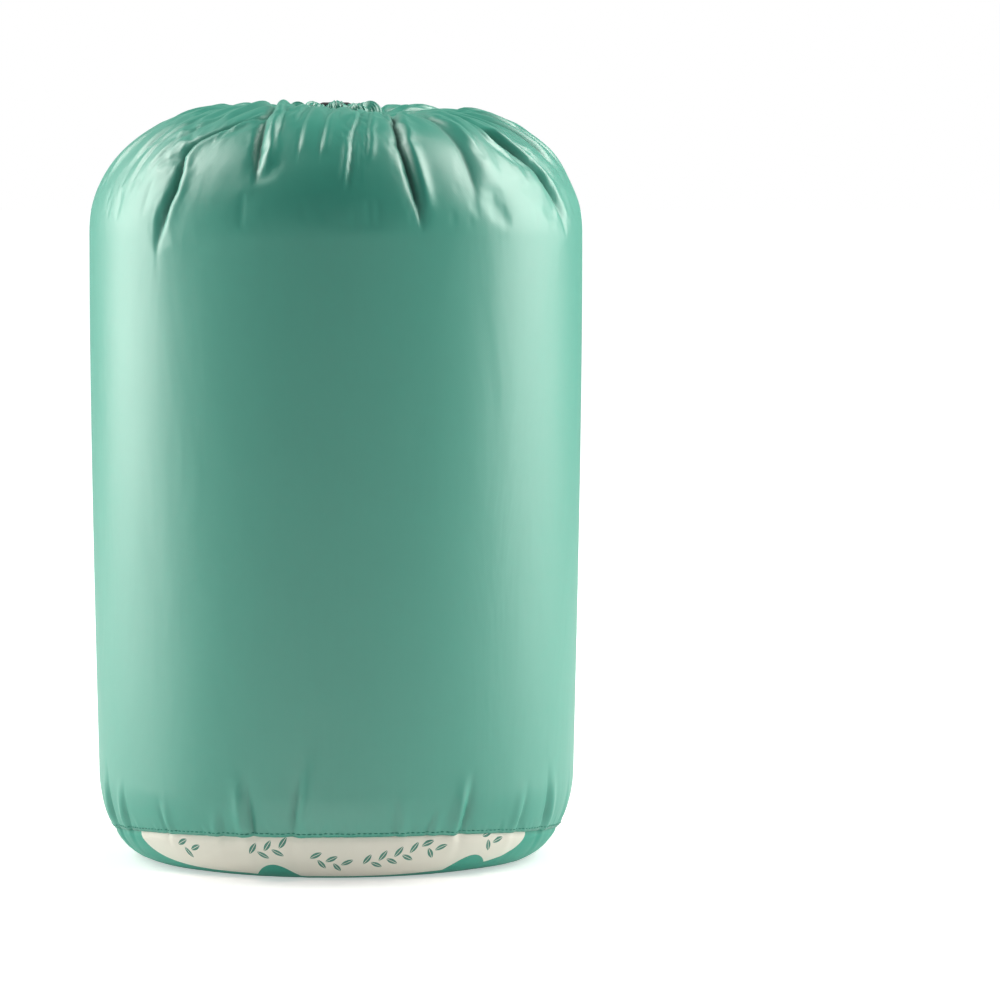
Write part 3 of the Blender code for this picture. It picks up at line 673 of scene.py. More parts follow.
FRONT_FOLDS = [
    fold([(0.052, -27), (0.066, -33.0), (0.077, -38.6), (0.085, -41.9), (0.093, -42.4), (0.102, -40.5),
          (0.112, -40.2), (0.140, -42.8)], 0.0043, 0.0019, 0.35, 1, (0.020, 0.034)),
    fold([(0.054, -43), (0.075, -48.0), (0.104, -51.5)], 0.0009, 0.0014, 0.6, -1, (0.014, 0.024)),
    fold([(0.060, -52), (0.080, -55.6), (0.110, -57.0)], 0.0008, 0.0013, 0.7, -1, (0.014, 0.024)),
    fold([(0.018, -44), (0.034, -31), (0.050, -24.4), (0.070, -21.4), (0.088, -19.2), (0.106, -18.0)],
         0.0032, 0.0020, 0.8, 1, (0.010, 0.026)),
    fold([(0.026, -28), (0.047, -18.5), (0.068, -15.5), (0.082, -14.6)],
         0.0014, 0.0015, 0.6, -1, (0.010, 0.020)),
    fold([(0.020, 26), (0.034, 17.0), (0.047, 12.3), (0.073, 7.2), (0.112, 4.3)], 0.0010, 0.0010, 0.9, -1),
    fold([(0.036, 19), (0.052, 14.4), (0.070, 11.2), (0.098, 8.9)], 0.0009, 0.0010, 0.9, 1),
    fold([(0.022, 3), (0.052, -1.2), (0.094, -2.9)], 0.0007, 0.0010, 0.9, 1),
    fold([(0.030, -10), (0.060, -8.9), (0.092, -8.4)], 0.0007, 0.0011, 0.8, 1),
    fold([(0.000, 66), (0.010, 54), (0.024, 40.0), (0.040, 28.6), (0.060, 22.4), (0.082, 19.8), (0.101, 20.2),
          (0.128, 21.3)], 0.0048, 0.0018, 0.30, 1, (0.004, 0.030)),
    fold([(0.014, 40), (0.034, 26.0), (0.052, 21.0)], 0.0016, 0.0014, 0.5, -1, (0.008, 0.016)),
    fold([(0.020, 58), (0.050, 41), (0.070, 38.0), (0.084, 37.6), (0.118, 36.0)],
         0.0022, 0.0040, 0.7, 1, (0.014, 0.030)),
    fold([(0.044, 48), (0.064, 45.4), (0.090, 44.2)], 0.0010, 0.0014, 0.7, -1),
    fold([(0.022, 67), (0.044, 57.6), (0.060, 54.6), (0.079, 54.9), (0.098, 57.8)], 0.0030, 0.0018, 0.5, -1,
         (0.010, 0.026)),
    fold([(0.064, 56.2), (0.078, 58.0), (0.090, 60.4), (0.102, 64.0), (0.128, 68.6)], 0.0046, 0.0019, 0.5, 1,
         (0.016, 0.034)),
    fold([(0.022, 82), (0.052, 74), (0.104, 78)], 0.0026, 0.0020, 0.6, 1, (0.012, 0.030)),
    fold([(0.020, -66), (0.056, -59), (0.102, -62)], 0.0014, 0.0018, 0.6, -1, (0.012, 0.030)),
    fold([(0.024, -84), (0.064, -74), (0.114, -79)], 0.0032, 0.0020, 0.6, 1, (0.012, 0.034)),
]
HEM_PLEATS = [-104, -78, -46, -15, 22, 52, 90, 118, 143, -128, -151]


def other_folds(random):
    """Folds on the sides and back, like the front's, but clear of the side seam in the middle of the back."""
    made, azimuth = [], 92.0
    while azimuth < 266:
        if abs(azimuth - 180) > 9:
            drift = random.uniform(-7, 7)
            start, end = random.uniform(0.012, 0.05), random.uniform(0.085, 0.13)
            middle = (start + end) / 2
            made.append(fold([(start, azimuth + drift), (middle, azimuth), (end, azimuth + 0.3 * drift)],
                             random.uniform(0.0018, 0.0046), random.uniform(0.0016, 0.0028),
                             random.uniform(0.4, 0.8), random.choice([-1, 1]), (0.014, 0.032)))
        azimuth += random.uniform(8, 17)
    return made


def mouth_gathers(random):
    """Short gathers that run out from the hem's own pleats, and fine lines between the big folds."""
    made = []
    for azimuth in HEM_PLEATS:
        made.append(fold([(0.0, azimuth), (random.uniform(0.022, 0.046), azimuth + random.uniform(-4, 4))],
                         0.0018, 0.0020, 0.5, random.choice([-1, 1]), (0.0001, 0.02)))
    for azimuth in np.arange(-172, 172, 4.6):
        if abs(azimuth) < 168:
            start = random.uniform(0.004, 0.045)
            lean = random.uniform(-5, 5)
            made.append(fold([(start, azimuth + lean), (start + random.uniform(0.03, 0.065), azimuth)],
                             random.uniform(0.0003, 0.0010), random.uniform(0.0009, 0.0016), 0.8,
                             random.choice([-1, 1]), (0.012, 0.024)))
    return made


cloth_random = np.random.default_rng(11)
TOP_FOLDS = FRONT_FOLDS + other_folds(cloth_random) + mouth_gathers(cloth_random)
print("folds at the top:", len(TOP_FOLDS))


# %% How the cloth moves at a fold
CREVICE_DEPTH = 0.0030


def turned_apart(azimuth, other):
    """The angle between two azimuths, from -pi to pi."""
    return (azimuth - other + math.pi) % math.tau - math.pi


def bell(value, width):
    """1 where the value is 0, and almost nothing from about twice the width."""
    return np.exp(-((value / width) ** 2))


def fold_depth(azimuth, arc, folds):
    """How far the cloth stands out, or sinks where it is negative, at each place."""
    total = np.zeros(np.broadcast(azimuth, arc).shape)
    radius = np.interp(arc, outline_arc, outline_radius)
    for one in folds:
        start, end = one["arcs"][0], one["arcs"][-1]
        fade_in, fade_out = one["fade"]
        here = (smooth_step(arc, start - 0.3 * fade_in, start + 0.7 * fade_in)
                * (1 - smooth_step(arc, end - 0.7 * fade_out, end + 0.3 * fade_out)))
        away = radius * turned_apart(azimuth, np.interp(arc, one["arcs"], one["azimuths"]))
        valley = np.exp(-np.abs(away) / one["width"])
        lip = here * bell(away - one["side"] * 2.6 * one["width"], 2.0 * one["width"])
        total += one["depth"] * here * (one["lip"] * lip - valley)
    return total


def add_crevices(piece, out):
    """Marks how deep in a fold each point of a grid is, from 0 to 1, for the painted shade and the extra
    roughness that the cloth's finish puts there.
    """
    deep = (np.clip(-out / CREVICE_DEPTH, 0, 1) ** 1.5).ravel()
    deep = np.concatenate([deep, np.zeros(len(piece.data.vertices) - len(deep))])
    piece.data.attributes.new("crevice", "FLOAT", "POINT").data.foreach_set("value", deep.astype(np.float32))


# Azimuth in degrees, distance down the outline, height, width in degrees and length.
SWELLS = [(-34, 0.026, 0.0066, 34, 0.019), (-62, 0.050, 0.0020, 20, 0.020), (8, 0.024, 0.0022, 16, 0.012),
          (150, 0.034, 0.0030, 30, 0.020), (-140, 0.036, 0.0034, 28, 0.020)]


def swelling(azimuth, arc):
    """Where the quilt pushes the top up between folds, from each swell's place, height, width and length."""
    total = 0.0
    for at, along, height, width, length in SWELLS:
        away = turned_apart(azimuth, math.radians(at)) / math.radians(width)
        total = total + height * np.exp(-(away**2) - ((arc - along) / length) ** 2)
    return total


WAVE_HEIGHT = 0.00035


def slack(azimuth, arc):
    """The long, shallow waves of cloth over a rolled quilt."""
    waves = (np.sin(3 * azimuth + 1.3 + 5 * arc) + 0.7 * np.sin(5 * azimuth - 9 * arc)
             + 0.5 * np.sin(8 * azimuth + 14 * arc))
    calm_back = 1 - 0.8 * bell(turned_apart(azimuth, math.pi), 0.12)
    return WAVE_HEIGHT * waves * smooth_step(arc, 0.03, 0.12) * calm_back


# %% [markdown]
# ## Cloth simulation over the shoulder
# Between the folds that are listed, real cloth crumples by itself, because there is more of it
# round the shoulder than there is room for. Blender's cloth can find that: the simulation is given a cut
# that is about two per cent too large, air pressure from inside in place of the quilt, and both edges held.
# Only how far it moved each place in or out is kept, on a coarse grid, and no place may move more than 2.6
# millimetres.

# %% Let the shoulder settle
SIM_COLUMNS, SIM_ROWS, SIM_FRAMES, SIM_REACH = 320, 72, 26, 0.200
CUT_TOO_WIDE, MOST_MOVE, SIM_PRESSURE = 0.022, 0.0026, 6.0


def grid_object(name, points):
    """A bare grid that closes on itself, for the simulation."""
    rows, columns = points.shape[:2]
    mesh = bpy.data.meshes.new(name)
    mesh.from_pydata(points.reshape(-1, 3).tolist(), [], grid_faces(rows, columns, columns)[0])
    return put_in_scene(name, mesh)


def settle_shoulder():
    """How far the simulation moves each place of the coarse grid straight out of the skin."""
    arc, azimuth = np.meshgrid(np.linspace(0, SIM_REACH, SIM_ROWS),
                               np.linspace(-math.pi, math.pi, SIM_COLUMNS, endpoint=False), indexing="ij")
    out = fold_depth(azimuth, arc, TOP_FOLDS) + swelling(azimuth, arc)
    start = skin(azimuth, arc, out)
    cloth = grid_object("settling_cloth", start)
    held = cloth.vertex_groups.new(name="held")
    last_rows = range(SIM_COLUMNS * (SIM_ROWS - 2), SIM_COLUMNS * SIM_ROWS)
    held.add([*range(SIM_COLUMNS), *last_rows], 1.0, "REPLACE")
    modifier = cloth.modifiers.new("cloth", "CLOTH")
    settings = modifier.settings
    settings.shrink_min = settings.shrink_max = -CUT_TOO_WIDE
    settings.vertex_group_mass = "held"
    settings.quality, settings.mass = 5, 0.15
    settings.tension_stiffness = settings.compression_stiffness = 20
    settings.shear_stiffness, settings.bending_stiffness = 6, 0.02
    settings.air_damping = 2
    settings.use_pressure, settings.uniform_pressure_force = True, SIM_PRESSURE
    settings.effector_weights.gravity = 0
    modifier.point_cache.frame_start, modifier.point_cache.frame_end = 1, SIM_FRAMES
    scene = bpy.context.scene
    for number in range(1, SIM_FRAMES + 1):
        scene.frame_set(number)
    places = points_of(cloth.evaluated_get(bpy.context.evaluated_depsgraph_get()).to_mesh())
    scene.frame_set(1)
    bpy.data.objects.remove(cloth)
    straight_out = skin(azimuth, arc, 1.0) - skin(azimuth, arc, 0.0)
    moved = ((places.reshape(start.shape) - start) * straight_out).sum(axis=-1)
    moved -= moved.mean(axis=1, keepdims=True)
    calm_back = 1 - bell(turned_apart(azimuth, math.pi), 0.16)
    return MOST_MOVE * np.tanh(moved / MOST_MOVE) * calm_back * (1 - smooth_step(arc, 0.12, SIM_REACH))


settled_out = settle_shoulder()
print(f"simulation: most in {settled_out.min():.4f} m, most out {settled_out.max():.4f} m")


def settled(azimuth, arc):
    """The simulation's move at any place, read between the points of its grid."""
    column = (np.asarray(azimuth) + math.pi) / math.tau * SIM_COLUMNS % SIM_COLUMNS
    row = np.clip(np.asarray(arc) / SIM_REACH, 0, 1) * (SIM_ROWS - 1)
    left = np.floor(column).astype(int) % SIM_COLUMNS
    above = np.minimum(np.floor(row).astype(int), SIM_ROWS - 2)
    right, share, down = (left + 1) % SIM_COLUMNS, column - np.floor(column), row - above
    upper_row = settled_out[above, left] * (1 - share) + settled_out[above, right] * share
    lower_row = settled_out[above + 1, left] * (1 - share) + settled_out[above + 1, right] * share
    return upper_row * (1 - down) + lower_row * down


# %% [markdown]
# ## Puckers over the bottom seam
# A flat round base is sewn to a tube that is a little too wide for it, so the tube's cloth puckers just
# over the seam. The puckers are folds too, but they are measured up from the seam, and each has a small
# echo in the base.

# %% Puckers
def pucker_folds(random):
    """Azimuth at the seam and at the top, length, depth and width: listed one by one in front, then all
    round.
    """
    marks = [(-19.0, -20.0, 0.036, 0.0026, 0.0022), (-9.2, -6.2, 0.046, 0.0022, 0.0022),
             (-27.0, -26.0, 0.016, 0.0014, 0.0016), (15.8, 15.2, 0.024, 0.0012, 0.0018),
             (33.4, 36.2, 0.036, 0.0024, 0.0022), (24.0, 25.4, 0.016, 0.0012, 0.0015),
             (52.0, 54.0, 0.030, 0.0014, 0.0020), (-45.0, -46.0, 0.022, 0.0012, 0.0018),
             (-62.0, -60.0, 0.030, 0.0016, 0.0020), (64.0, 62.0, 0.040, 0.0018, 0.0022)]
    azimuth = -71.0
    while azimuth > -286:
        if abs(turned_apart(math.radians(azimuth), math.pi)) > math.radians(5):
            marks.append((azimuth, azimuth + random.uniform(-3, 3), random.uniform(0.012, 0.042),
                          random.uniform(0.0008, 0.0024), random.uniform(0.0015, 0.0024)))
        azimuth -= random.uniform(6, 12)
    for azimuth in np.arange(-178, 178, 4.3):
        marks.append((azimuth, azimuth + random.uniform(-2, 2), random.uniform(0.004, 0.012),
                      random.uniform(0.0002, 0.0007), 0.0011))
    return marks


PUCKERS = pucker_folds(cloth_random)
AT_SEAM = 0.45
LOCK_PATH_SIDES, LOCK_PATH_END, LOCK_PATH_SINK = (0.015, 0.026), (0.050, 0.066), 0.0006


def pucker_depth(azimuth, above):
    """The puckers' part at a distance above the seam, or below it where that is negative."""
    total = np.zeros(np.broadcast(azimuth, above).shape)
    for number, (foot, top, length, depth, width) in enumerate(PUCKERS):
        share = above / length
        middle = np.radians(foot + (top - foot) * np.clip(share, 0, 1))
        below_seam = np.exp(np.minimum(above, 0) / (0.3 * length))
        grown = AT_SEAM + (1 - AT_SEAM) * smooth_step(share, 0, 0.25)
        here = np.where(above > 0, (1 - smooth_step(share, 0.15, 1.0)) * grown, AT_SEAM * below_seam)
        away = foot_radius * turned_apart(azimuth, middle)
        side = 1 if number % 2 else -1
        lip = bell(away - side * 2.2 * width, 1.5 * width)
        total += depth * here * (0.9 * lip - np.exp(-np.abs(away) / width))
    return total


def wall_out(azimuth, arc, seam):
    """How far the wall's cloth stands out of the skin, with everything that moves it.

    Where the lock slides, behind the mouth, the cloth is pulled smooth and lies a little lower."""
    free = (fold_depth(azimuth, arc, TOP_FOLDS) + swelling(azimuth, arc) + settled(azimuth, arc)
            + slack(azimuth, arc) + pucker_depth(azimuth, seam - arc))
    beside = np.abs(np.interp(arc, outline_arc, outline_radius) * np.sin(azimuth))
    behind = (np.cos(azimuth) < 0) * (1 - smooth_step(beside, *LOCK_PATH_SIDES))
    smooth = behind * (1 - smooth_step(arc, *LOCK_PATH_END))
    return free * (1 - smooth) - LOCK_PATH_SINK * smooth


# %% [markdown]
# ## The wall of the sack
# One length of taffeta, closed into a tube by the side seam at the back. Rows of the grid are close
# together where the cloth is gathered and where it puckers, and far apart on the smooth side. Below the
# seam the cloth turns in, as a seam allowance does, so that no raw edge shows.

# %% Build the wall
COLUMNS, GATHERED_ROWS, SMOOTH_ROWS, PUCKERED_ROWS = 680, 78, 26, 34
GATHERED_TO, PUCKERED_FROM, TILT_FROM = 0.145, side_seam_arc - 0.058, 0.30
SEAM_TUCK = 0.004


def tucked_in(azimuth, seam, tuck):
    """Rows at the seam that turn in as its allowance."""
    return skin(azimuth[None], seam[None] - tuck * 0.2, -SEAM_TUCK * 0.25 - np.abs(tuck))


azimuths = np.linspace(-math.pi, math.pi, COLUMNS, endpoint=False)
seam_at = seam_arc(azimuths)
rows = np.concatenate([np.linspace(0, GATHERED_TO, GATHERED_ROWS, endpoint=False),
                       np.linspace(GATHERED_TO, PUCKERED_FROM, SMOOTH_ROWS, endpoint=False),
                       np.linspace(PUCKERED_FROM, side_seam_arc, PUCKERED_ROWS)])
lower = smooth_step(rows, TILT_FROM, side_seam_arc)[:, None]
wall_arc = rows[:, None] + (seam_at - side_seam_arc)[None] * lower
wall_azimuth = np.broadcast_to(azimuths, wall_arc.shape)
wall_points = skin(wall_azimuth, wall_arc, wall_out(wall_azimuth, wall_arc, seam_at[None]))

tuck = np.array([0.0004, 0.0014])[:, None]
wall_points = np.concatenate([wall_points, tucked_in(azimuths, seam_at, tuck)])
cloth_v = np.concatenate([wall_arc, wall_arc[-1:] + tuck])
cloth_v = np.concatenate([cloth_v, cloth_v[:, :1]], axis=1)
wall_cloth = stacked(np.linspace(0, math.tau * sack_radius, COLUMNS + 1), cloth_v)
wall = grid_mesh("sack_wall_cloth", wall_points, wall_cloth, green_taffeta)
pucker_out = pucker_depth(wall_azimuth, seam_at[None] - wall_arc)
# Fold and pucker depths become painted shade in the wall's colour.
add_crevices(wall, fold_depth(wall_azimuth, wall_arc, TOP_FOLDS) + pucker_out)
stand_in(wall, "sack_wall", "green_taffeta")
print("wall:", len(wall.data.polygons), "faces")

# %% [markdown]
# ## Inside the bottom seam
# The raw edges of the wall and the base are wrapped in a folded tape. It lies just inside the cloth and
# follows it into every pucker, so it is made from the same two numbers as the wall, moved in by a little
# less than two millimetres.

# %% The seam's tape
TAPE_INSET, TAPE_HALF_WIDTH, TAPE_ROWS = 0.0018, 0.005, 9
TAPE_GROOVE, TAPE_GROOVE_WIDTH = 0.0012, 0.003
across = np.linspace(-TAPE_HALF_WIDTH, TAPE_HALF_WIDTH, TAPE_ROWS)[:, None]
tape_azimuths, tape_seam = azimuths[::2], seam_at[::2]
tape_arc = tape_seam[None] + across
tape_azimuth = np.broadcast_to(tape_azimuths, tape_arc.shape)
near_seam = (0.5 * wall_out(tape_azimuth, tape_arc, tape_seam[None])
             - TAPE_GROOVE * bell(across, TAPE_GROOVE_WIDTH))
tape_points = skin(tape_azimuth, tape_arc, np.minimum(near_seam, 0) - TAPE_INSET)
tape_cloth = stacked(np.linspace(0, math.tau * foot_radius, len(tape_azimuths) + 1), across)
inner_tape = grid_mesh("bottom_seam_binding", tape_points, tape_cloth, seam_tape)
stand_in(inner_tape, "bottom_seam_tape", "seam_tape")
print("seam tape:", len(inner_tape.data.polygons), "faces")

# %% [markdown]
# ## The printed base
# A round piece of printed cloth closes the bottom. Most of it is the same green, and in front it shows a
# cream ground with two hills and small sprigs of leaves. The print could be a picture, but an ellipse and a
# few leaf shapes worked out by the shader stay sharp at any size. They use a second UV map: metres round
# the seam, and metres below it.

# %% Shapes of the print
LEAF_VEIN_HALF = 0.00014


def less_square(tree, value, size):
    """1 less the square of a value over its size: 1 in the middle, and 0 where the value is the size."""
    share = maths(tree, "DIVIDE", value, size)
    return maths(tree, "SUBTRACT", 1.0, maths(tree, "MULTIPLY", share, share))


def leaf_group():
    """A pointed leaf with its middle vein left out. Mask is 1 inside the leaf."""
    tree, given, put_out = new_group(
        "leaf", [("Place", VECTOR, None), ("Centre", VECTOR, None), ("Turn", FLOAT, 0.0),
                 ("Half length", FLOAT, 0.004), ("Half width", FLOAT, 0.0012)], [("Mask", FLOAT)])
    moved = add_node(tree, "ShaderNodeVectorMath", {0: given["Place"], 1: given["Centre"]},
                     operation="SUBTRACT")
    turned = add_node(tree, "ShaderNodeVectorRotate", {"Vector": moved.outputs[0], "Angle": given["Turn"]},
                      rotation_type="Z_AXIS")
    axis = axes_of(tree, turned.outputs[0])
    edge = maths(tree, "MULTIPLY", given["Half width"], less_square(tree, axis["X"], given["Half length"]))
    away = maths(tree, "ABSOLUTE", axis["Y"])
    inside = maths(tree, "LESS_THAN", away, edge)
    vein = maths(tree, "GREATER_THAN", away, LEAF_VEIN_HALF)
    put_out(Mask=maths(tree, "MULTIPLY", inside, vein))
    return tree


def cream_group():
    """The cream ground: an ellipse that hangs from the seam, less one hill. Mask is 1 on the cream."""
    tree, given, put_out = new_group(
        "cream_ground",
        [("Place", VECTOR, None), ("Half width", FLOAT, 0.118), ("Depth", FLOAT, 0.029),
         ("Hill at", FLOAT, -0.031), ("Hill width", FLOAT, 0.013), ("Hill height", FLOAT, 0.011)],
        [("Mask", FLOAT)])
    axis = axes_of(tree, given["Place"])
    inside = maths(tree, "MAXIMUM", less_square(tree, axis["X"], given["Half width"]), 0.0)
    ellipse = maths(tree, "MULTIPLY", given["Depth"], maths(tree, "SQRT", inside))
    from_hill = maths(tree, "SUBTRACT", axis["X"], given["Hill at"])
    hill = maths(tree, "MAXIMUM", less_square(tree, from_hill, given["Hill width"]), 0.0)
    border = maths(tree, "SUBTRACT", ellipse, maths(tree, "MULTIPLY", given["Hill height"], hill))
    put_out(Mask=maths(tree, "LESS_THAN", axis["Y"], border))
    return tree


leaf, cream_ground = leaf_group(), cream_group()
# Place on the print, lean in radians, and number of leaves.
SPRIGS = [((0.002, 0.0150), 0.25, 5), ((0.034, 0.0110), -0.25, 7), ((0.056, 0.0080), 0.30, 3),
          ((-0.030, 0.0070), -0.20, 5), ((-0.078, 0.0085), 0.35, 3), ((0.092, 0.0050), 0.4, 3)]
LEAF_STEP, LEAF_OUT, LEAF_HALF_LENGTH, LEAF_HALF_WIDTH = 0.0042, 0.0024, 0.0038, 0.0014


def sprig_leaves(place, lean, count):
    """The leaves of a sprig, in turn on both sides of its stem: their centres and turns."""
    made = []
    for number in range(count):
        along, side = (number - count / 2) * LEAF_STEP, 1 if number % 2 else -1
        out = LEAF_OUT * side
        made.append(((place[0] + along * math.cos(lean) - out * math.sin(lean),
                      place[1] + along * math.sin(lean) + out * math.cos(lean), 0), -lean - 0.75 * side))
    return made


# %% The printed cloth
CREAM, CREAM_LIGHT, PRINT_INK = (0.93, 0.895, 0.785), (0.96, 0.93, 0.83), (0.05, 0.26, 0.19)


def printed_cloth():
    """The base's cloth: taffeta, with its colour from the print."""
    made = cloth_material("printed_base_cloth", TEAL, TEAL_LIGHT, 0.46, crease=0.0003,
                          crease_size=(26.0, 26.0), dye=0.5, Specular_IOR_Level=0.7, IOR=1.6)
    tree = made.node_tree
    shader = tree.nodes["Principled BSDF"]
    green = shader.inputs["Base Color"].links[0].from_socket
    place = add_node(tree, "ShaderNodeUVMap", uv_map="print").outputs[0]
    cream = use_group(tree, uneven_dye, Place=cloth_place(tree, True), Colour=(*CREAM, 1),
                      Light_colour=(*CREAM_LIGHT, 1), Amount=0.8)["Colour"]
    ink_mask = None
    for where, lean, count in SPRIGS:
        for centre, turn in sprig_leaves(where, lean, count):
            mask = use_group(tree, leaf, Place=place, Centre=centre, Turn=turn, Half_length=LEAF_HALF_LENGTH,
                             Half_width=LEAF_HALF_WIDTH)["Mask"]
            ink_mask = maths(tree, "MAXIMUM", ink_mask, mask) if ink_mask else mask
    with_ink = mixed_colour(tree, ink_mask, cream, PRINT_INK)
    ground = maths(tree, "MULTIPLY", use_group(tree, cream_ground, Place=place)["Mask"],
                   use_group(tree, cream_ground, Place=place, Hill_at=0.080, Hill_height=0.009)["Mask"])
    tree.links.new(mixed_colour(tree, ground, green, with_ink), shader.inputs["Base Color"])
    return made


printed_base_cloth = printed_cloth()
print("leaves in the print:", sum(count for _, _, count in SPRIGS))

# %% Build the base
BASE_COLUMNS, BASE_ROWS, FLAT_ROWS, FLOOR_GAP = 480, 34, 20, 0.0002
SEAM_GROOVE, GROOVE_WIDTH, BULGE, BULGE_LENGTH = 0.0010, 0.0020, 0.0010, 0.030
base_azimuths = np.linspace(-math.pi, math.pi, BASE_COLUMNS, endpoint=False)
base_seam = seam_arc(base_azimuths)
edge_arc = outline_arc[-1]
down = np.linspace(0, 1, BASE_ROWS)[:, None]
base_arc = base_seam[None] + down * (edge_arc - base_seam[None])
below = base_arc - base_seam[None]
base_azimuth = np.broadcast_to(base_azimuths, base_arc.shape)


def base_out(azimuth, under):
    """The base's own shape: puckers below the seam, a crisp groove at it, and a soft, uneven bulge."""
    bulge = (BULGE * np.sin(np.clip(under / BULGE_LENGTH, 0, 1) * math.pi)
             * (1 + 0.4 * np.sin(7 * azimuth + 0.6)))
    return pucker_depth(azimuth, -under) - SEAM_GROOVE * bell(under, GROOVE_WIDTH) + bulge


base_points = skin(base_azimuth, base_arc, base_out(base_azimuth, below))
flat_radius = rest_radius * np.linspace(1, 0, FLAT_ROWS + 2)[1:-1, None]
flat = stacked(flat_radius * np.sin(base_azimuths), -flat_radius * np.cos(base_azimuths), 0.0)
base_points = np.concatenate([tucked_in(base_azimuths, base_seam, -tuck[::-1]), base_points, flat])
base_points[..., 2] = np.maximum(base_points[..., 2], FLOOR_GAP)
plan = np.concatenate([base_points[..., :2], base_points[:, :1, :2]], axis=1)
base = grid_mesh("printed_base", base_points, plan, printed_base_cloth, caps=(False, True))


PRINT_ROUND, PRINT_END = 0.95, 0.2


def add_print_map(piece):
    """A UV map in metres round the seam and metres below it, for the print."""
    mesh = piece.data
    loops = np.zeros(len(mesh.loops), int)
    mesh.loops.foreach_get("vertex_index", loops)
    x, y, _ = points_of(mesh).T
    on_flat = (edge_arc - base_seam)[None] + rest_radius - flat_radius
    under = np.concatenate([np.zeros(len(tuck) * BASE_COLUMNS), below.ravel(), on_flat.ravel(), [PRINT_END]])
    values = np.stack([np.arctan2(x, -y) * sack_radius * PRINT_ROUND, under], axis=1)[loops]
    mesh.uv_layers.new(name="print").data.foreach_set("uv", values.astype(np.float32).ravel())


add_print_map(base)
stand_in(base, "bottom_panel", "printed_base_cloth")
print("base:", len(base.data.polygons), "faces")

# %% [markdown]
# ## The tunnel at the mouth
# The wall's top edge is folded over and sewn down to make a tunnel for the cord. Drawn tight it bunches
# into rounded lobes with sharp pleats between them, and where its two ends meet at the back the cord comes
# out. A ring gives the tunnel, and it is pleated where the wall's short gathers start, so that they run on
# from one to the other.

# %% Build the tunnel
HEM_END = math.radians(160)
HEM_STEPS, HEM_SIDES, HEM_CUT = 420, 40, 0.5
PLEAT_DEPTH, PLEAT_WIDTH, HEM_INSET = 0.0024, 0.0021, 0.0002
LOBE_RISES = [0.0010, 0.0024, 0.0006, 0.0020, 0.0002, 0.0016, 0.0026, 0.0012, 0.0020, 0.0008, 0.0016, 0.0010]


def pleats(azimuth):
    """How far the tunnel's cloth is pinched at each azimuth, in metres, and how far its lobe stands up."""
    marks = np.radians(sorted(HEM_PLEATS))
    away = hem_radius * np.abs(turned_apart(azimuth[:, None], marks[None]))
    pinch = (PLEAT_DEPTH * np.exp(-away / PLEAT_WIDTH)).sum(axis=1)
    lobe_of = np.searchsorted(marks, azimuth)
    edges = np.concatenate([[-HEM_END], marks, [HEM_END]])
    share = np.clip((azimuth - edges[lobe_of]) / (edges[lobe_of + 1] - edges[lobe_of]), 0, 1)
    rise = np.array(LOBE_RISES)[lobe_of] * np.sin(share * math.pi) ** 0.7
    return pinch, rise


hem_azimuths = np.linspace(-HEM_END, HEM_END, HEM_STEPS)
around = np.linspace(0, math.tau, HEM_SIDES, endpoint=False)
pinch, rise = pleats(hem_azimuths)
fine = (0.00025 * np.sin(hem_azimuths[:, None] * 61 + 2 * np.sin(around))
        + 0.0002 * np.sin(hem_azimuths[:, None] * 97 + 1))
upper = 0.5 + 0.5 * np.sin(around)[None]
section = (hem_tube - HEM_INSET) - pinch[:, None] * (0.35 + 0.65 * upper) + rise[:, None] * upper**2 + fine
hem_r = hem_radius + section * np.cos(around)
hem_height = hem_z + section * np.sin(around)
END_ROWS = [(-0.0006, 0.97), (0.0002, 0.86), (0.0016, 0.74), (0.0050, 0.70)]


def hem_ends(points, first):
    """Extra rows at one end, by depth and size, that round its edge over and lead back inside."""
    end, inward = (points[0], points[1] - points[0]) if first else (points[-1], points[-2] - points[-1])
    inward = inward.mean(axis=0) / np.linalg.norm(inward.mean(axis=0))
    middle = end.mean(axis=0)
    extra = [middle + (end - middle) * size + inward * depth for depth, size in END_ROWS]
    return np.array(extra[::-1] if first else extra)


hem_points = stacked(hem_r * np.sin(hem_azimuths)[:, None], -hem_r * np.cos(hem_azimuths)[:, None],
                     hem_height)
hem_points = np.concatenate([hem_ends(hem_points, True), hem_points, hem_ends(hem_points, False)])[:, ::-1]
hem_cloth = stacked(np.linspace(0, math.tau * hem_tube, HEM_SIDES + 1),
                    np.linspace(0, HEM_CUT, len(hem_points))[:, None])
hem = grid_mesh("mouth_tunnel", hem_points, hem_cloth, green_taffeta)
stand_in(hem, "mouth_hem", "green_taffeta")
print("tunnel:", len(hem.data.polygons), "faces, highest", round(float(hem_points[..., 2].max()), 4))

# %% [markdown]
# ## Stitches
# Three seams show their thread: a row over the bottom seam, a double row down the side seam at the back,
# and the row that closes the tunnel. One Geometry Nodes tree makes them all. It spreads points along a
# line, puts a small oval of thread on each, turned along the line, and makes them one mesh. Placing a
# thousand stitches by hand would give the same picture, but the tree keeps the stitch length as one number.

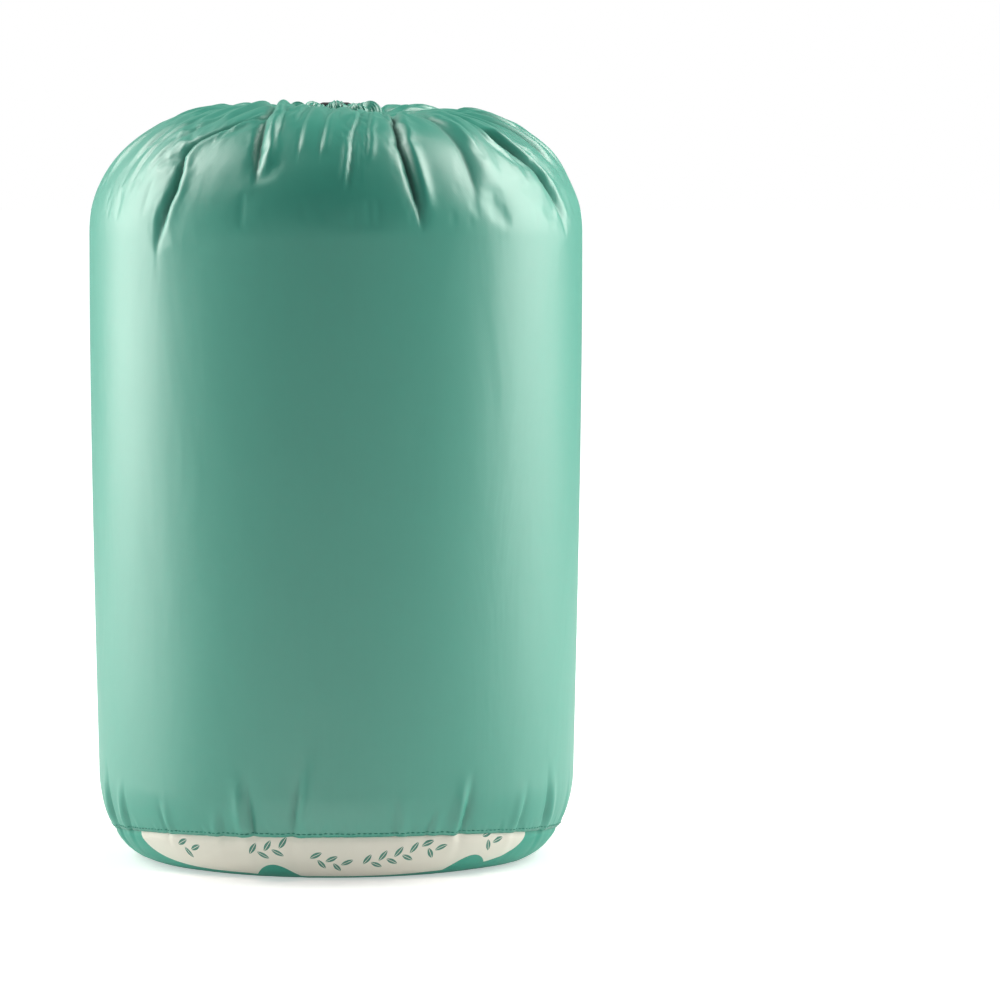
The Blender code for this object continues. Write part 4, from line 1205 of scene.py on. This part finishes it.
# %% A tree for rows of stitches
def stitch_tree():
    """Thread ovals along the edges of a mesh."""
    tree = bpy.data.node_groups.new("stitch_row", "GeometryNodeTree")
    for label, way, kind in (("Geometry", "INPUT", "NodeSocketGeometry"), ("Spacing", "INPUT", FLOAT),
                             ("Length", "INPUT", FLOAT), ("Thickness", "INPUT", FLOAT),
                             ("Thread", "INPUT", "NodeSocketMaterial"),
                             ("Geometry", "OUTPUT", "NodeSocketGeometry")):
        tree.interface.new_socket(label, in_out=way, socket_type=kind)
    entry, leave = tree.nodes.new("NodeGroupInput").outputs, tree.nodes.new("NodeGroupOutput")
    line = add_node(tree, "GeometryNodeMeshToCurve", {"Mesh": entry["Geometry"]}).outputs[0]
    spread = add_node(tree, "GeometryNodeResampleCurve", {"Curve": line, "Length": entry["Spacing"]},
                      mode="LENGTH")
    oval = add_node(tree, "GeometryNodeMeshUVSphere", {"Segments": 8, "Rings": 6, "Radius": 0.5})
    size = add_node(tree, "ShaderNodeCombineXYZ", {"X": entry["Length"], "Y": entry["Thickness"],
                                                   "Z": entry["Thickness"]})
    sized = add_node(tree, "GeometryNodeTransform",
                     {"Geometry": oval.outputs["Mesh"], "Scale": size.outputs[0]})
    tangent = tree.nodes.new("GeometryNodeInputTangent").outputs[0]
    turned = add_node(tree, "FunctionNodeAlignEulerToVector", {"Vector": tangent}, axis="X")
    placed = add_node(tree, "GeometryNodeInstanceOnPoints",
                      {"Points": spread.outputs[0], "Instance": sized.outputs[0],
                       "Rotation": turned.outputs[0]})
    whole = add_node(tree, "GeometryNodeRealizeInstances", {"Geometry": placed.outputs[0]})
    smooth = add_node(tree, "GeometryNodeSetShadeSmooth", {"Geometry": whole.outputs[0]})
    made = add_node(tree, "GeometryNodeSetMaterial",
                    {"Geometry": smooth.outputs[0], "Material": entry["Thread"]})
    tree.links.new(made.outputs[0], leave.inputs[0])
    return tree


stitch_row = stitch_tree()


STITCH, STITCH_GAP, THREAD = 0.0021, 0.0007, 0.0006


def stitches(name, lines, closed=False):
    """A plain mesh of the stitches along one or more lines of points."""
    vertices, edges = [], []
    for line in lines:
        first, count = len(vertices), len(line)
        vertices += [tuple(point) for point in line]
        edges += [(first + step, first + step + 1) for step in range(count - 1)]
        if closed:
            edges.append((first + count - 1, first))
    guide_mesh = bpy.data.meshes.new("stitch_line")
    guide_mesh.from_pydata(vertices, edges, [])
    guide = put_in_scene("stitch_line", guide_mesh)
    modifier = guide.modifiers.new("stitches", "NODES")
    modifier.node_group = stitch_row
    values = {"Spacing": STITCH + STITCH_GAP, "Length": STITCH, "Thickness": THREAD, "Thread": thread_green}
    for socket in stitch_row.interface.items_tree:
        if socket.in_out == "INPUT" and socket.name in values:
            modifier[socket.identifier] = values[socket.name]
    guide.update_tag()
    evaluated = guide.evaluated_get(bpy.context.evaluated_depsgraph_get())
    mesh = bpy.data.meshes.new_from_object(evaluated)
    bpy.data.objects.remove(guide)
    return new_piece(name, mesh, thread_green)


# %% Sew the three seams
SEAM_ROW_RISE, SIDE_ROW_APART, HEM_ROW_ARC, THREAD_RISE = 0.0018, 0.0030, 0.0016, 0.0001
SEAM_ROW_POINTS, SHORT_ROW_POINTS = 2400, 900


def on_wall(azimuth, arc, seam):
    """A line for stitches, just over the wall's cloth."""
    return skin(azimuth, arc, wall_out(azimuth, arc, seam) + THREAD_RISE)


row_azimuths = np.linspace(-math.pi, math.pi, SEAM_ROW_POINTS, endpoint=False)
row_seam = seam_arc(row_azimuths)
seam_line = on_wall(row_azimuths, row_seam - SEAM_ROW_RISE, row_seam)
side_arcs = np.linspace(0.006, back_seam_arc - 0.004, SHORT_ROW_POINTS)
turn = SIDE_ROW_APART / 2 / np.interp(side_arcs, outline_arc, outline_radius)
side_lines = [on_wall(math.pi - side * turn, side_arcs, back_seam_arc) for side in (-1, 1)]
hem_row_azimuths = np.linspace(-HEM_END, HEM_END, SHORT_ROW_POINTS)
hem_line = on_wall(hem_row_azimuths, np.full(SHORT_ROW_POINTS, HEM_ROW_ARC), side_seam_arc)

seam_stitches = stitches("bottom_seam_stitches", [seam_line], closed=True)
side_stitches = stitches("side_seam_stitches", side_lines)
hem_stitches = stitches("tunnel_stitches", [hem_line])
for piece, node in ((seam_stitches, "bottom_seam_thread"), (hem_stitches, "hem_thread"),
                    (side_stitches, None)):
    stand_in(piece, node, "green_thread")
    print(piece.name, len(piece.data.polygons), "faces")

# %% [markdown]
# ## The blanket in its roll
# The quilt is folded in four and rolled up tightly. Its shell, its filling and its lining are three pieces
# here, as on the real one, and quilting lines pull them together into channels. Nothing of it shows while
# the sack is shut, but the sack must not be hollow, and the roll is what rounds it. It is one strip wound
# in a spiral, squeezed to the sack's outline so that it stays clear of the cloth, and each layer is a grid
# round the strip's own section.

# %% Wind the strip
TURN_PITCH, CORE_RADIUS, ROLL_TURNS, ROLL_END = 0.022, 0.0118, 4.54, math.radians(60)
ROLL_CLEARANCE, ROLL_LOW, ROLL_HIGH = 0.0070, 0.0135, 0.3690
QUILT_LINE_STEP, STRIP_HALF, SHELL_STEP = 0.058, 0.0078, 0.0009
STRIP_POINTS, ROLL_ROWS, EDGE_ROWS, PAST_MOUTH = 300, 62, 3, 60
roll_turn = math.tau * np.linspace(0, ROLL_TURNS, STRIP_POINTS)
spiral_radius = CORE_RADIUS + TURN_PITCH * roll_turn / math.tau
spiral_share = spiral_radius / (spiral_radius[-1] + STRIP_HALF)
spiral_angle = ROLL_END - roll_turn[-1] + roll_turn
roll_heights = np.linspace(ROLL_LOW, ROLL_HIGH, ROLL_ROWS)
nearest = np.argmin(np.abs(outline_z[None, PAST_MOUTH:] - roll_heights[:, None]), axis=1)
room = outline_radius[nearest + PAST_MOUTH] - ROLL_CLEARANCE


def from_ends(count, length):
    """0 at both ends of a row of points, and 1 from this many points inwards."""
    place = np.arange(count)
    return np.clip(np.minimum(place, count - 1 - place) / length, 0, 1)


def layer_rings(half, end_round):
    """Points round the strip's section at each height: out on its outer side, back on its inner side."""
    channel = np.abs(np.sin(math.pi * (roll_heights - ROLL_LOW) / QUILT_LINE_STEP)) ** 0.45
    puff = (0.62 + 0.38 * channel)[:, None]
    close = from_ends(ROLL_ROWS, EDGE_ROWS)[:, None] ** 0.5
    soft = 1 + 0.08 * np.sin(5 * spiral_angle[None] + 30 * roll_heights[:, None])
    ends = from_ends(STRIP_POINTS, end_round) ** 0.5
    thick = half * puff * soft * close * ends[None] * (room / room.max())[:, None]
    middle = spiral_share[None] * room[:, None]
    sides = []
    for sign, order in ((1, slice(None)), (-1, slice(None, None, -1))):
        radius = (middle + sign * thick)[:, order]
        angle = spiral_angle[order][None]
        sides.append(stacked(radius * np.cos(angle), radius * np.sin(angle), roll_heights[:, None]))
    return np.concatenate(sides, axis=1)[::-1]


CLOSING_STEP, WELD = 0.001, 0.00001


def roll_layer(name, points, finish, wrap):
    """One layer as a mesh, with its cloth laid out in metres."""
    columns = points.shape[1] + (1 if wrap else 0)
    travelled = travelled_along(points[ROLL_ROWS // 2])
    length = np.concatenate([travelled, [travelled[-1] + CLOSING_STEP]])[:columns]
    made = grid_mesh(name, points, stacked(length, -points[:, :1, 2]), finish, wrap=wrap)
    welding = bmesh.new()
    welding.from_mesh(made.data)
    bmesh.ops.remove_doubles(welding, verts=welding.verts, dist=WELD)
    welding.to_mesh(made.data)
    welding.free()
    return made


COVER_END_ROUND, STUFFING_END_ROUND = 4, 5
cover = layer_rings(STRIP_HALF, COVER_END_ROUND)
stuffing = layer_rings(STRIP_HALF - SHELL_STEP, STUFFING_END_ROUND)
quilt_pieces = []
for node, name, points, finish, slot in (
        ("blanket_shell", "quilt_shell", cover[:, :STRIP_POINTS], quilt_shell, "quilt_shell_cloth"),
        ("blanket_lining", "quilt_lining", cover[:, STRIP_POINTS:], quilt_lining, "quilt_lining_cloth"),
        ("blanket_fill", "quilt_filling", stuffing, quilt_fill, "quilt_fill")):
    piece = roll_layer(name, points, finish, wrap=node == "blanket_fill")
    stand_in(piece, node, slot)
    quilt_pieces.append(piece)
    print(piece.name, len(piece.data.polygons), "faces")

# %% The tape round the blanket's edge
BINDING_REACH, BINDING_OUT, ALMOST_NOTHING = 6, 0.0007, 1e-6
binding_rows = cover[:, STRIP_POINTS - BINDING_REACH:STRIP_POINTS + BINDING_REACH]
outward = binding_rows - binding_rows.mean(axis=1, keepdims=True)
outward_length = np.maximum(np.linalg.norm(outward, axis=-1, keepdims=True), ALMOST_NOTHING)
binding_points = binding_rows + BINDING_OUT * outward / outward_length
edge_tape = roll_layer("quilt_edge_binding", binding_points, binding_tape, False)
stand_in(edge_tape, "blanket_edge_binding", "quilt_binding_tape")
print("edge tape:", len(edge_tape.data.polygons), "faces")

# %% [markdown]
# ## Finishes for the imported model's own parts
# The lock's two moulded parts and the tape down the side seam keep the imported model's shape. Moulded
# plastic is never quite smooth: the mould leaves a fine grain, and handling polishes the corners.

# %% Moulded plastic
def moulded_plastic(name, colour, roughness):
    """Hard plastic with the mould's fine grain and slow changes of gloss."""
    made, tree, shader = new_material(name, {"Specular IOR Level": 0.5, "IOR": 1.49})
    place = object_place(tree)
    grain, wear = noise(tree, place, 5200.0, 2.0), noise(tree, place, 260.0, 3.0)
    tree.links.new(maths(tree, "MULTIPLY_ADD", wear, 0.22, roughness - 0.11), shader.inputs["Roughness"])
    lighter = tuple(1.8 * value + 0.004 for value in colour)
    tree.links.new(mixed_colour(tree, wear, colour, lighter), shader.inputs["Base Color"])
    tree.links.new(bumps(tree, (wear, 0.00006), (grain, 0.00003)), shader.inputs["Normal"])
    return made


barrel_plastic = moulded_plastic("barrel_plastic", (0.014, 0.014, 0.015), 0.42)
plunger_plastic = moulded_plastic("plunger_plastic", (0.020, 0.020, 0.022), 0.36)
for node, finish in (("cord_lock_barrel", barrel_plastic), ("cord_lock_plunger", plunger_plastic),
                     ("side_seam_tape", seam_tape)):
    for material_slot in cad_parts[node].material_slots:
        material_slot.material = finish
    print(node, "has", finish.name)

# %% [markdown]
# ## Floor and light
# A pale floor and wide soft lights on both sides, each with a smaller one above it, give the cloth its two
# broad upright highlights with a dark band between them. A light from the front would be simpler, but it
# flattens shiny cloth. The world is dim for the cloth, dimmer still overhead, and bright only where the
# camera sees it directly, so that the background stays white.

# %% Floor
FLOOR_GLOW, GLOW_NEAR, GLOW_FAR = 0.15, 0.30, 0.90


def changing(tree, value, start_and_end, first_and_last):
    """The first number where the value is at the start, the last at the end, and an even change between."""
    inputs = dict(zip(("From Min", "From Max", "To Min", "To Max"), (*start_and_end, *first_and_last)))
    return add_node(tree, "ShaderNodeMapRange", {"Value": value, **inputs},
                    interpolation_type="SMOOTHSTEP").outputs[0]


def floor_material():
    """Pale paper with the faintest tooth. A faint glow for every ray lights the sack from below, and for the
    camera it glows more the farther it is from the sack, so that it stays white far away; round the sack's
    foot it is darker, partly from the lights' real shadow and partly as painted shade from the weaker glow
    there.
    """
    made, tree, shader = new_material("paper_floor", {
        "Base Color": (0.80, 0.80, 0.80, 1), "Roughness": 0.9, "Specular IOR Level": 0.1,
        "Emission Color": (1, 1, 1, 1)})
    seen = add_node(tree, "ShaderNodeLightPath").outputs["Is Camera Ray"]
    place = object_place(tree)
    away = add_node(tree, "ShaderNodeVectorMath", {0: place}, operation="LENGTH").outputs["Value"]
    # Painted shade: the glow that the camera sees is weakest next to the sack, which darkens the floor round
    # its foot.
    glow = changing(tree, away, (0.12, 0.9), (GLOW_NEAR, GLOW_FAR))
    tree.links.new(maths(tree, "MULTIPLY_ADD", seen, glow, FLOOR_GLOW), shader.inputs["Emission Strength"])
    tree.links.new(bumps(tree, (noise(tree, place, 900.0, 3.0), 0.00005)), shader.inputs["Normal"])
    return made


FLOOR_SIZE = 12.0
floor_corners = [(x * FLOOR_SIZE, y * FLOOR_SIZE, 0.0) for x, y in ((-1, -1), (1, -1), (1, 1), (-1, 1))]
floor_mesh = bpy.data.meshes.new("floor")
floor_mesh.from_pydata(floor_corners, [], [(0, 1, 2, 3)])
floor = new_piece("floor", floor_mesh, floor_material())
print("floor", 2 * FLOOR_SIZE, "m wide")


# %% Lights
def softbox(name, place, target, size, watts):
    """A soft light of a width and a height that faces a point and isn't seen itself."""
    light = bpy.data.lights.new(name, "AREA")
    light.shape, light.size, light.size_y, light.energy = "RECTANGLE", *size, watts
    light.color = (1.0, 0.985, 0.93)
    made = put_in_scene(name, light)
    made.location = place
    made.rotation_euler = (Vector(target) - Vector(place)).to_track_quat("-Z", "Y").to_euler()
    made.visible_camera = False


SACK_MIDDLE = (0, 0, 0.2)
softbox("left_softbox", (-1.75, 0.50, 0.95), SACK_MIDDLE, (1.6, 2.0), 42)
softbox("right_softbox", (1.75, 0.45, 1.05), SACK_MIDDLE, (1.6, 2.0), 43)
softbox("upper_left_softbox", (-1.35, 0.60, 2.15), SACK_MIDDLE, (1.2, 1.1), 14)
softbox("upper_right_softbox", (1.35, 0.60, 2.15), SACK_MIDDLE, (1.2, 1.1), 14)

WORLD_FOR_CAMERA, WORLD_AT_HORIZON, WORLD_OVERHEAD = 1.0, 0.24, 0.09
world = bpy.data.worlds.new("studio")
bpy.context.scene.world = world
world.use_nodes = True
world_tree = world.node_tree
rays = add_node(world_tree, "ShaderNodeLightPath").outputs["Is Camera Ray"]
sky = axes_of(world_tree, add_node(world_tree, "ShaderNodeTexCoord").outputs["Generated"])
dim = changing(world_tree, sky["Z"], (0.15, 0.75), (WORLD_AT_HORIZON, WORLD_OVERHEAD))
strength = add_node(world_tree, "ShaderNodeMix", {0: rays, 2: dim, 3: WORLD_FOR_CAMERA}).outputs[0]
world_tree.nodes["Background"].inputs["Color"].default_value = (1, 1, 1, 1)
world_tree.links.new(strength, world_tree.nodes["Background"].inputs["Strength"])
bpy.context.scene.view_settings.view_transform = "Standard"
print("lights are set")

# %% [markdown]
# ## The area of the blanket's pieces
# The wall was cut as a rectangle as wide as the sack is round, the base as a circle, and the blanket's
# two faces as strips as long as the roll unwound. The area of each of the blanket's three pieces is printed.


def cloth_area(piece):
    """The area of a piece's faces."""
    areas = np.zeros(len(piece.data.polygons))
    piece.data.polygons.foreach_get("area", areas)
    return float(areas.sum())


for piece in quilt_pieces:
    print(piece.name, "area", round(cloth_area(piece), 3), "m2")
